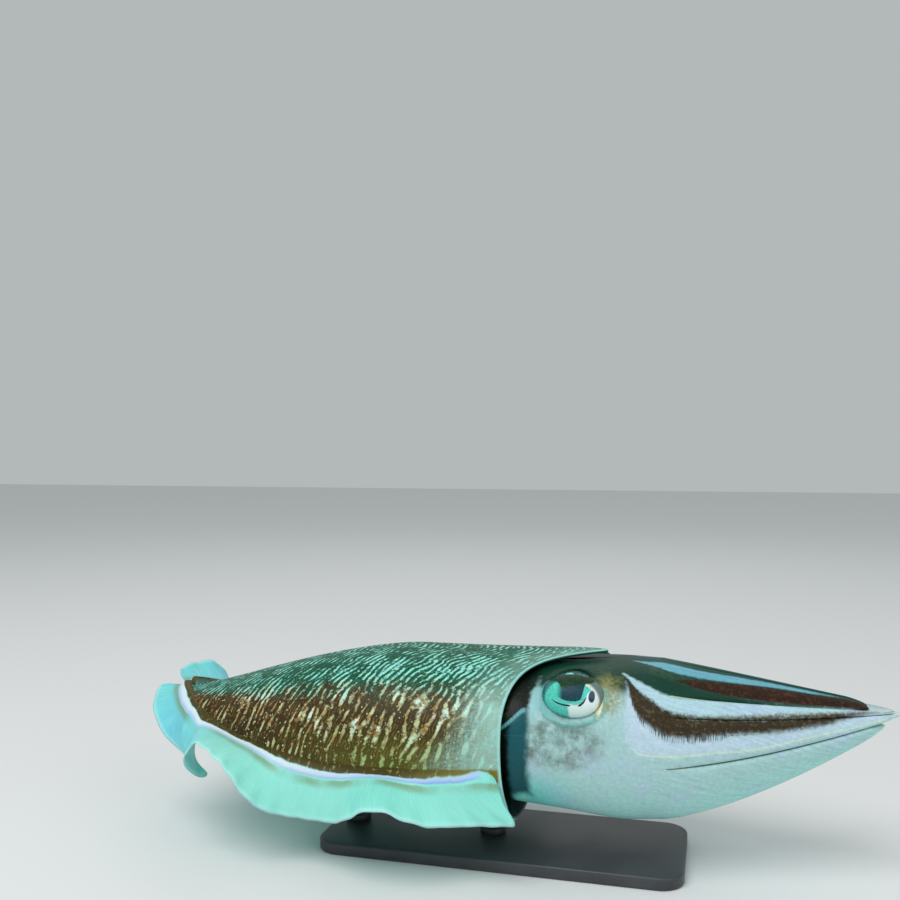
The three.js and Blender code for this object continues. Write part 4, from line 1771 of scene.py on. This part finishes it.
    def inner_sheet(self, arm: Arm, side: Side) -> Sheet:
        """The arm's inner face, from the mouth's rim to its tip, with the mouth's own share.

        Args:
            arm: The arm.
            side: Which side it is on.

        Returns:
            The sheet.
        """
        t = np.linspace(0, 1, 46)
        x = lerp(self.split, arm.end, 1 - (1 - t) ** 1.5)
        mouth = np.linspace(0, 1, 6)[:-1]
        x = np.concatenate([np.full(5, self.split), x])[:, None]
        share_in = np.concatenate([mouth, np.ones(len(t))])[:, None]
        row = np.linspace(-1, 1, self.inner_rows + 1)[None, :]
        gap = self.gap / 2 * self.parted(x)
        close = self.closing(x, arm)
        turn = arm.middle + arm.half * row * (1 - gap / (arm.half * self.mean_radius(x))) * close
        bulge = self.bulge * (1 - row**2) * self.parted(x)
        depth = (self.hollow - bulge) * share_in
        depth = lerp((1 + self.hollow) / 2, depth, close)
        x = np.broadcast_to(x, turn.shape)
        points = self.point(x, turn, depth, side)
        points[..., 0] = full_x = x - self.mouth_depth * (1 - share_in**2)
        flow = np.stack([full_x, side.value * self.ring_lengths(x, turn)], -1) * CM_PER_MM
        fields = self.fields(points, full_x, turn) | {"inner": np.ones_like(turn)}
        return Sheet(f"{arm.name}_{side.name.lower()}_inner", points, flow, Finish.HEAD, fields)

    def build(self, axes: BodyAxes) -> list[Piece]:
        """Every sheet of the head and arms.

        Args:
            axes: Where the body's axes lie.

        Returns:
            The sheets as objects.
        """
        sheets = []
        for side in Side:
            for arm in ARMS:
                sheets.append(self.arm_sheet(arm, side).build(axes))
                sheets.append(self.inner_sheet(arm, side).build(axes))
        return sheets


@dataclass(frozen=True)
class FunnelForm:
    """The funnel under the head: a soft flattened tube with a bore."""

    root: tuple[float, float, float] = (240, 0, -49)
    mouth: tuple[float, float, float] = (318, 0, -61)
    root_radius: float = 14
    mouth_radius: float = 9
    wall: float = 2.4
    bore: float = 40
    flat: float = 1.15
    ripple: float = 0.35
    around: int = 48

    def build(self, axes: BodyAxes) -> Piece:
        """The outside, the rounded mouth and the bore as one sheet.

        Args:
            axes: Where the body's axes lie.

        Returns:
            The sheet as an object.
        """
        root, mouth = np.array(self.root, float), np.array(self.mouth, float)
        length = np.linalg.norm(mouth - root)
        axis = (mouth - root) / length
        up = np.array([-axis[2], 0, axis[0]])
        t_out = np.linspace(0, 1, 22)
        lip = np.linspace(0, np.pi, 7)[1:-1]
        t_in = np.linspace(1, 1 - self.bore / length, 10)
        half = self.wall / 2
        ripple = self.ripple * np.sin(t_out * length / 2.4) * smoothstep(0.6, 0.8, t_out)
        outer = lerp(self.root_radius, self.mouth_radius, t_out**0.8) + ripple - self.ripple
        rim = self.mouth_radius - self.ripple - half + half * np.cos(lip)
        bore = lerp(self.root_radius, self.mouth_radius, t_in**0.8) - self.wall - self.ripple
        ends = (t_out * length - half, length - half + half * np.sin(lip), t_in * length - half)
        along = np.concatenate([[0, 0], *ends])
        along = np.append(along, along[-1])
        radius = np.concatenate([[0, self.root_radius / 2], outer, rim, bore, [0]])
        inner = np.arange(len(along)) > len(t_out) + len(lip)
        a = np.linspace(0, 2 * np.pi, self.around + 1)[None, :]
        wave = 1 + 0.03 * np.cos(3 * a)
        aside = self.flat * radius[:, None] * np.cos(a) * wave
        rise = radius[:, None] * np.sin(a) * wave
        points = root + axis * np.clip(along, 0, None)[:, None, None] + up * rise[..., None]
        points = points + np.array([0, 1, 0]) * aside[..., None]
        flow = np.stack([along[:, None] + 0 * a, 10 * a + 0 * along[:, None]], -1) * CM_PER_MM
        fields = {
            "along": points[..., 0],
            "inner": np.broadcast_to(inner[:, None] * 1.0, aside.shape),
        }
        return Sheet("funnel_skin", points, flow, Finish.FUNNEL, fields).build(axes)


@dataclass(frozen=True)
class Suckers:
    """Cups in four rows along the inner face of each arm, smaller towards its tip."""

    axes: BodyAxes
    rows: int = 4
    largest: float = 1.6
    smallest: float = 0.4
    spacing: float = 2.25
    filled: float = 0.42
    seed: int = 11

    def build(self, finish: Material) -> Piece:
        """Sets copies of one cup along every arm and joins them.

        Args:
            finish: The cups' material.

        Returns:
            All the cups as one piece.
        """
        bpy.ops.object.select_all(action="DESELECT")
        bpy.ops.mesh.primitive_torus_add(
            major_segments=9, minor_segments=5, major_radius=0.68, minor_radius=0.32
        )
        cup = bpy.context.object
        cup.name = "suckers"
        cup.data.materials.append(finish)
        places = [place for side in Side for arm in ARMS for place in self.places(arm, side)]
        for place in places[1:]:
            copy = cup.copy()
            copy.matrix_world = place
            bpy.context.scene.collection.objects.link(copy)
            copy.select_set(True)
        cup.matrix_world = places[0]
        cup.data = cup.data.copy()
        bpy.context.view_layer.objects.active = cup
        bpy.ops.object.join()
        bpy.ops.object.transform_apply(location=True, rotation=True, scale=True)
        bpy.ops.object.shade_smooth()
        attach(cup, "root")
        return cup

    def places(self, arm: Arm, side: Side) -> list[Matrix]:
        """Where the cups of one arm sit, facing the middle of the bundle.

        Args:
            arm: The arm.
            side: Which side it is on.

        Returns:
            A matrix for each cup, in metres of the row frame.
        """
        head, rng = HeadForm(), np.random.default_rng(self.seed)
        found, x = [], head.split + 3
        while x < arm.end - 5:
            mean = float(head.mean_radius(np.array(x)))
            room = 2 * arm.half * mean * head.hollow / self.rows
            size = float(np.clip(self.filled * room, self.smallest, self.largest))
            size = min(size, self.filled * mean * head.hollow)
            for row in range(self.rows):
                share = (row + 0.5) / self.rows * 2 - 1
                at_x = x + (row % 2) * size * self.spacing / 2
                turn = np.array(arm.middle + arm.half * share * 0.86)
                depth = np.array(head.hollow - head.bulge * (1 - share**2))
                point = head.point(np.array(at_x), turn, depth, side)
                inner = head.point(np.array(at_x), turn, depth * 0.5, side)
                inward = Vector(inner - point).normalized()
                scale = size * rng.uniform(0.9, 1.05)
                turned = inward.to_track_quat("Z", "Y").to_matrix().to_4x4()
                sized = Matrix.Diagonal((scale * MM, scale * MM, scale * MM * 0.9, 1))
                found.append(Matrix.Translation(self.axes.place(point)) @ turned @ sized)
            x += size * self.spacing
        return found


@dataclass
class Skin:
    """The one skin over the mantle, fins, head, arms and funnel."""

    axes: BodyAxes

    def build(self) -> Piece:
        """Builds every sheet and welds them into one piece.

        Returns:
            The skin.
        """
        sheets = [MantleForm().build(self.axes)]
        sheets.append(FinForm(Side.RIGHT, FIN_RIGHT).build(self.axes))
        sheets.append(FinForm(Side.LEFT, FIN_LEFT).build(self.axes))
        sheets += HeadForm().build(self.axes)
        sheets.append(FunnelForm().build(self.axes))
        skin = joined(sheets, "skin")
        arms = [f"{arm.name}_{side.name.lower()}" for arm in ARMS for side in Side]
        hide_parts("mantle", "fin_right", "fin_left", "head", "funnel", *arms)
        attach(skin, "root")
        return skin


@dataclass(frozen=True)
class EyeFinish(Coating):
    """Turquoise and silver iris with a dark wavy slit under a dark flap.

    Each line across the eye is a row of points in millimetres from the eye's middle.
    """

    axes: BodyAxes
    name: str = "eye_gloss"
    slit: Colour = (4, 8, 12)
    flap: Colour = (14, 58, 72)
    flap_light: Colour = (40, 92, 104)
    iris: Colour = (88, 214, 196)
    iris_deep: Colour = (60, 176, 164)
    silver: Colour = (232, 248, 246)
    streak: Colour = (120, 196, 198)
    blot: Colour = (12, 56, 84)
    gold: Colour = (226, 222, 184)
    rim: Colour = (22, 84, 88)
    brow: Colour = (8, 44, 22)
    brow_light: Colour = (34, 104, 62)
    slit_line: Path = (
        (-13.7, 4.5), (-12.3, 2.1), (-11.2, 0), (-9, -1.1), (-5.3, -2),
        (-0.5, -2.3), (4.3, -2.3), (7.2, -0.7), (9.6, 2.9), (11, 5),
    )
    flap_line: Path = (
        (-14, 9), (-10.5, 6), (-8.2, 2.9), (-4.6, 1.1), (1.3, 0.4),
        (5.7, 1.4), (7.2, 5), (8.2, 9), (10, 13),
    )
    brow_line: Path = ((-15, 9), (-9, 10), (-4.6, 7.4), (-1, 8.8), (5, 9.4), (12, 10))
    blot_at: tuple[float, float] = (12.6, 3)
    blot_half: tuple[float, float] = (1.9, 3.4)
    line_run: float = 30
    line_low: float = -6
    line_rise: float = 20

    def above(self, paint: Paint, x: Socket, height: Socket, points: Path) -> Socket:
        """How far above a line a place of the eye lies.

        Args:
            paint: The material in the making.
            x: The place's distance ahead of the eye's middle.
            height: Its height over the eye's middle.
            points: The line's points.

        Returns:
            The distance in millimetres, below 0 under the line.
        """
        ends = ((-self.line_run / 2, points[0][1]), *points, (self.line_run / 2, points[-1][1]))
        fitted = [(px / self.line_run + 0.5, (py - self.line_low) / self.line_rise) for px, py in ends]
        share = paint.math("MULTIPLY_ADD", x, 1 / self.line_run, 0.5, clamp=True)
        line = paint.scaled(paint.curve(share, fitted), self.line_rise, self.line_low)
        return paint.minus(height, line)

    def oval(self, paint: Paint, place: Sequence[Value], half: Sequence[float]) -> Socket:
        """The square of how far out in an oval a place lies, which is 1 on the oval."""
        shares = (paint.times(away, 1 / size) for away, size in zip(place, half))
        return paint.plus(*(paint.math("POWER", share, 2) for share in shares))

    def slit_mask(self, paint: Paint, x: Socket, away: Socket) -> Socket:
        """The slit, thin behind and thick ahead with a gap between.

        Args:
            paint: The material in the making.
            x: The place's distance ahead of the eye's middle.
            away: Its height over the slit's middle line.

        Returns:
            The slit's mask.
        """
        rear = paint.times(paint.step(x, -12.9, -8), paint.step(x, 0.4, -1.2, 0.42))
        fore = paint.times(paint.step(x, 4, 6.4), paint.step(x, 10, 8.3))
        width = paint.scaled(fore, 0.8, rear)
        slit = paint.step(paint.math("ABSOLUTE", away), paint.plus(width, 0.25), width)
        return paint.times(slit, paint.step(width, 0.02, 0.12))

    def lay(self, paint: Paint) -> None:
        """Lays the colours, the relief and the shine.

        Args:
            paint: The material in the making.
        """
        head = HeadForm()
        centre = self.axes.place(np.array([head.eye_x, 0, head.eye_z])) / -MM
        centred = {"Vector": paint.place, "Location": tuple(centre), "Scale": (1 / MM,) * 3}
        place = paint.place = paint.node("ShaderNodeMapping", centred).outputs["Vector"]
        parts = paint.node("ShaderNodeSeparateXYZ", {0: place}).outputs
        x, z = parts["X"], parts["Z"]
        fine = paint.noise(place, 0.9, 4, 0.7)
        height = paint.plus(z, paint.times(paint.sway(place, 0.5, 3), 0.7))
        lines = (self.slit_line, self.flap_line, self.brow_line)
        from_slit, from_flap, from_brow = (self.above(paint, x, height, line) for line in lines)
        paint.colour = paint.mix(paint.step(fine, 0.42, 0.7), self.iris, self.iris_deep)
        streaks = paint.noise(paint.vectors("MULTIPLY", place, (1, 1, 0.16)), 1.1, 3)
        silver = paint.mix(paint.step(streaks, 0.6, 0.8, 0.7), self.silver, self.streak)
        paint.over(paint.times(paint.step(x, -2.4, -0.4), paint.step(from_slit, 1.6, -0.4)), silver)
        reach = paint.math("SQRT", self.oval(paint, (x, z), (head.open_long, head.open_tall)))
        ring = paint.mix(paint.step(fine, 0.46, 0.6), self.silver, self.gold)
        paint.over(paint.times(paint.step(reach, 0.84, 0.9), paint.step(x, 4, 8)), ring)
        away = [paint.minus(part, middle) for part, middle in zip((x, z), self.blot_at)]
        paint.over(paint.step(self.oval(paint, away, self.blot_half), 1.3, 0.7), self.blot)
        flap = paint.mix(paint.step(fine, 0.5, 0.68), self.flap, self.flap_light)
        flap = paint.mix(paint.step(x, -10.5, -4.5), self.iris, flap)
        on_flap, on_brow = paint.step(from_flap, -0.3, 0.4), paint.step(from_brow, -0.5, 0.5)
        paint.over(on_flap, flap)
        paint.over(self.slit_mask(paint, x, from_slit), self.slit)
        paint.over(paint.step(reach, 0.9, 1, 0.85), self.rim)
        paint.over(on_brow, paint.mix(paint.step(fine, 0.5, 0.7), self.brow, self.brow_light))
        flesh = paint.math("MAXIMUM", on_flap, on_brow)
        folds = paint.scaled(flesh, 1.5, paint.times(paint.grain(0.7, 0.4), 0.35))
        paint.raised(folds, 0.0004)
        paint.shade(
            Roughness=paint.scaled(flesh, 0.35, 0.2),
            Coat_Weight=paint.scaled(flesh, -0.46, 0.5),
            Coat_Roughness=0.06,
            Specular_IOR_Level=0.25,
        )


@dataclass(frozen=True)
class StandFinish(Coating):
    """Satin dark grey paint with a fine even texture."""

    name: str = "stand_paint"
    new: Colour = (50, 53, 56)
    worn: Colour = (66, 69, 72)

    def lay(self, paint: Paint) -> None:
        """Lays the colours, the relief and the shine.

        Args:
            paint: The material in the making.
        """
        cloud = paint.step(paint.noise(paint.place, 14, 5, 0.6), 0.4, 0.7)
        paint.colour = paint.mix(cloud, self.new, self.worn)
        paint.raised(paint.grain(900, 0.7), 0.0002, 0.35)
        paint.shade(Roughness=paint.scaled(cloud, 0.12, 0.36))


@dataclass
class Eye:
    """One eyeball, long from front to back, set under the lids."""

    side: Side
    axes: BodyAxes

    def build(self, finish: Material) -> Piece:
        """A fine ball stretched to the eye's size, with its poles fore and aft.

        Args:
            finish: The eye's material.

        Returns:
            The eyeball.
        """
        head = HeadForm()
        bpy.ops.object.select_all(action="DESELECT")
        bpy.ops.mesh.primitive_uv_sphere_add(segments=96, ring_count=64, radius=1)
        ball = bpy.context.object
        ball.name = f"eyeball_{self.side.name.lower()}"
        flat = np.empty(len(ball.data.vertices) * 3, np.float32)
        ball.data.vertices.foreach_get("co", flat)
        unit = flat.reshape(-1, 3)
        sizes = np.array([head.eye_long, head.eye_deep, head.eye_tall])
        middle = np.array([head.eye_x, self.side.value * head.eye_y, head.eye_z])
        points = self.axes.place(unit[:, [2, 1, 0]] * sizes + middle)
        ball.data.vertices.foreach_set("co", points.astype(np.float32).ravel())
        ball.data.update()
        ball = joined([ball], ball.name)
        ball.data.materials.append(finish)
        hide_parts(f"eye_{self.side.name.lower()}")
        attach(ball, "root")
        return ball


@dataclass(frozen=True)
class Stand:
    """A rounded plate with two rods that hold the body up under its belly."""

    axes: BodyAxes
    length: float = 240
    depth: float = 96
    height: float = 8
    corner: float = 16
    edge: float = 1.5
    rod_radius: float = 4
    collar_radius: float = 9
    collar_height: float = 4
    rods: tuple[tuple[str, float], ...] = (("stand_rod_rear", 135), ("stand_rod_front", 232))
    gap: float = 0.3
    foot: float = 0.05

    def build(self, finish: Material) -> list[Piece]:
        """Makes the plate and both rods.

        Args:
            finish: The stand's material.

        Returns:
            The three pieces.
        """
        pieces = [self.plate()] + [self.rod(node, at) for node, at in self.rods]
        for piece in pieces:
            piece.data.materials.append(finish)
            bpy.ops.object.select_all(action="DESELECT")
            piece.select_set(True)
            bpy.context.view_layer.objects.active = piece
            bpy.ops.object.shade_smooth_by_angle(angle=math.radians(35))
            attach(piece, "root")
        return pieces

    def plate(self) -> Piece:
        """The plate, with round corners and a small round edge.

        Returns:
            The plate.
        """
        bpy.ops.object.select_all(action="DESELECT")
        bpy.ops.mesh.primitive_cube_add(size=1, location=(0, 0, self.height * MM / 2))
        plate = bpy.context.object
        plate.name = "stand_plate"
        plate.scale = (self.length * MM, self.depth * MM, self.height * MM)
        bpy.ops.object.transform_apply(location=True, scale=True)
        upright = plate.data.attributes.new("bevel_weight_edge", "FLOAT", "EDGE")
        points = [vertex.co for vertex in plate.data.vertices]
        for index, line in enumerate(plate.data.edges):
            a, b = (points[i] for i in line.vertices)
            upright.data[index].value = float(abs(a.z - b.z) > self.height * MM / 2)
        for limit, width, segments in (("WEIGHT", self.corner, 16), ("ANGLE", self.edge, 4)):
            bevel = plate.modifiers.new("round", "BEVEL")
            bevel.limit_method = limit
            bevel.width = width * MM
            bevel.segments = segments
            bpy.ops.object.modifier_apply(modifier=bevel.name)
        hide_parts("stand_base")
        return plate

    def rod(self, node: str, at: float) -> Piece:
        """A round rod with a collar, whose top follows the belly over it.

        Args:
            node: The solid that it stands for.
            at: Its distance from the tail.

        Returns:
            The rod with its collar.
        """
        x = self.axes.tail_x + at * MM
        floor = (self.height + self.gap) * MM
        bpy.ops.object.select_all(action="DESELECT")
        bpy.ops.mesh.primitive_cylinder_add(
            vertices=48,
            radius=self.collar_radius * MM,
            depth=self.collar_height * MM,
            location=(x, 0, floor + self.collar_height * MM / 2),
        )
        collar = bpy.context.object
        bevel = collar.modifiers.new("round", "BEVEL")
        bevel.width, bevel.segments = 0.8 * MM, 3
        bpy.ops.object.modifier_apply(modifier=bevel.name)
        bpy.ops.mesh.primitive_cylinder_add(
            vertices=48, radius=self.rod_radius * MM, depth=1, location=(x, 0, 0)
        )
        rod = bpy.context.object
        bpy.ops.object.transform_apply(location=True)
        for vertex in rod.data.vertices:
            low = vertex.co.z < 0
            vertex.co.z = floor + self.foot * self.axes.axis_z if low else self.belly(vertex.co)
        rod.name = node + "_round"
        collar.select_set(True)
        bpy.ops.object.join()
        bpy.ops.object.transform_apply(location=True, rotation=True, scale=True)
        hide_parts(node)
        return rod

    def belly(self, point: Vector) -> float:
        """The height just under the belly over a point, in metres.

        Args:
            point: The point in metres of the row frame.

        Returns:
            The height.
        """
        mantle = MantleForm()
        angle = np.linspace(-np.pi, 0, 400)
        x = np.full_like(angle, (point.x - self.axes.tail_x) / MM)
        ring = mantle.point(x, angle, np.zeros_like(angle))
        order = np.argsort(ring[:, 1])
        height = np.interp(point.y / MM, ring[order, 1], ring[order, 2])
        return float(height - self.gap - 0.1) * MM + self.axes.axis_z


@dataclass(frozen=True)
class Light:
    """A round soft light: its place and size in metres, and its power in watts."""

    name: str
    place: tuple[float, float, float]
    size: float
    power: float

    def build(self, aim: tuple[float, float, float]) -> None:
        """Hangs the light.

        Args:
            aim: The point that it faces.
        """
        lamp = bpy.data.lights.new(self.name, "AREA")
        lamp.shape, lamp.size, lamp.energy = "DISK", self.size, self.power
        light = bpy.data.objects.new(self.name, lamp)
        light.location = self.place
        beam = Vector(aim) - Vector(self.place)
        light.rotation_euler = beam.to_track_quat("-Z", "Y").to_euler()
        bpy.context.scene.collection.objects.link(light)


LIGHTS = (
    Light("key", (-0.5, -1.2, 1.9), 1.6, 26),
    Light("fill", (1.6, -1.0, 1.0), 1.6, 7),
    Light("back", (-0.2, 1.5, 1.6), 1.4, 3),
)


@dataclass
class Studio:
    """A pale floor, soft lights and the camera at the photograph's angle."""

    camera_at: tuple[float, float, float] = (0.13999, -0.66592, 0.26768)
    camera_turn: float = 15
    lens: float = 40
    sensor: float = 36
    floor_size: float = 12
    aim: tuple[float, float, float] = (0, 0, 0.08)
    sky: tuple[float, float, float, float] = (0.9, 0.97, 0.97, 1)
    sky_strength: float = 0.5

    def build(self) -> None:
        """Makes the floor, the lights and the camera."""
        bpy.ops.object.select_all(action="DESELECT")
        bpy.ops.mesh.primitive_plane_add(size=self.floor_size)
        floor = bpy.context.object
        floor.name = "floor"
        floor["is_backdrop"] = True
        camera = bpy.data.objects.new("camera", bpy.data.cameras.new("camera"))
        bpy.context.scene.collection.objects.link(camera)
        camera.location = self.camera_at
        camera.rotation_euler = (math.radians(90), 0, math.radians(self.camera_turn))
        camera.data.lens = self.lens
        camera.data.sensor_width = self.sensor
        bpy.context.scene.camera = camera
        for light in LIGHTS:
            light.build(self.aim)
        world = bpy.data.worlds.new("studio")
        world.use_nodes = True
        sky = world.node_tree.nodes["Background"].inputs
        sky["Color"].default_value, sky["Strength"].default_value = self.sky, self.sky_strength
        bpy.context.scene.world = world
        bpy.context.scene.view_settings.view_transform = "Standard"


def write_sizes() -> None:
    """Works out the solids' box and the dressed model's box as plain lists."""
    boxes = {"cad": CAD_BOX, "visual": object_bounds()}
    plain = {name: [list(corner) for corner in box] for name, box in boxes.items()}


def main() -> None:
    """Builds the cuttlefish, its stand and the studio."""
    logging.basicConfig(level=logging.INFO, format="%(name)s: %(message)s")
    axes = BodyAxes.of_frame()
    effects = Effects()
    for finish in (MantleFinish(), FinFinish(), HeadFinish(), FunnelFinish()):
        finish.build(effects)
    pieces = [Skin(axes).build(), Suckers(axes).build(SuckerFinish().build(effects))]
    iris = EyeFinish(axes).build(effects)
    pieces += [Eye(side, axes).build(iris) for side in Side]
    pieces += Stand(axes).build(StandFinish().build(effects))
    for piece in pieces:
        log.info("%s: %d faces", piece.name, len(piece.data.polygons))
    Studio().build()
    write_sizes()


if __name__ == "__main__":
    main()
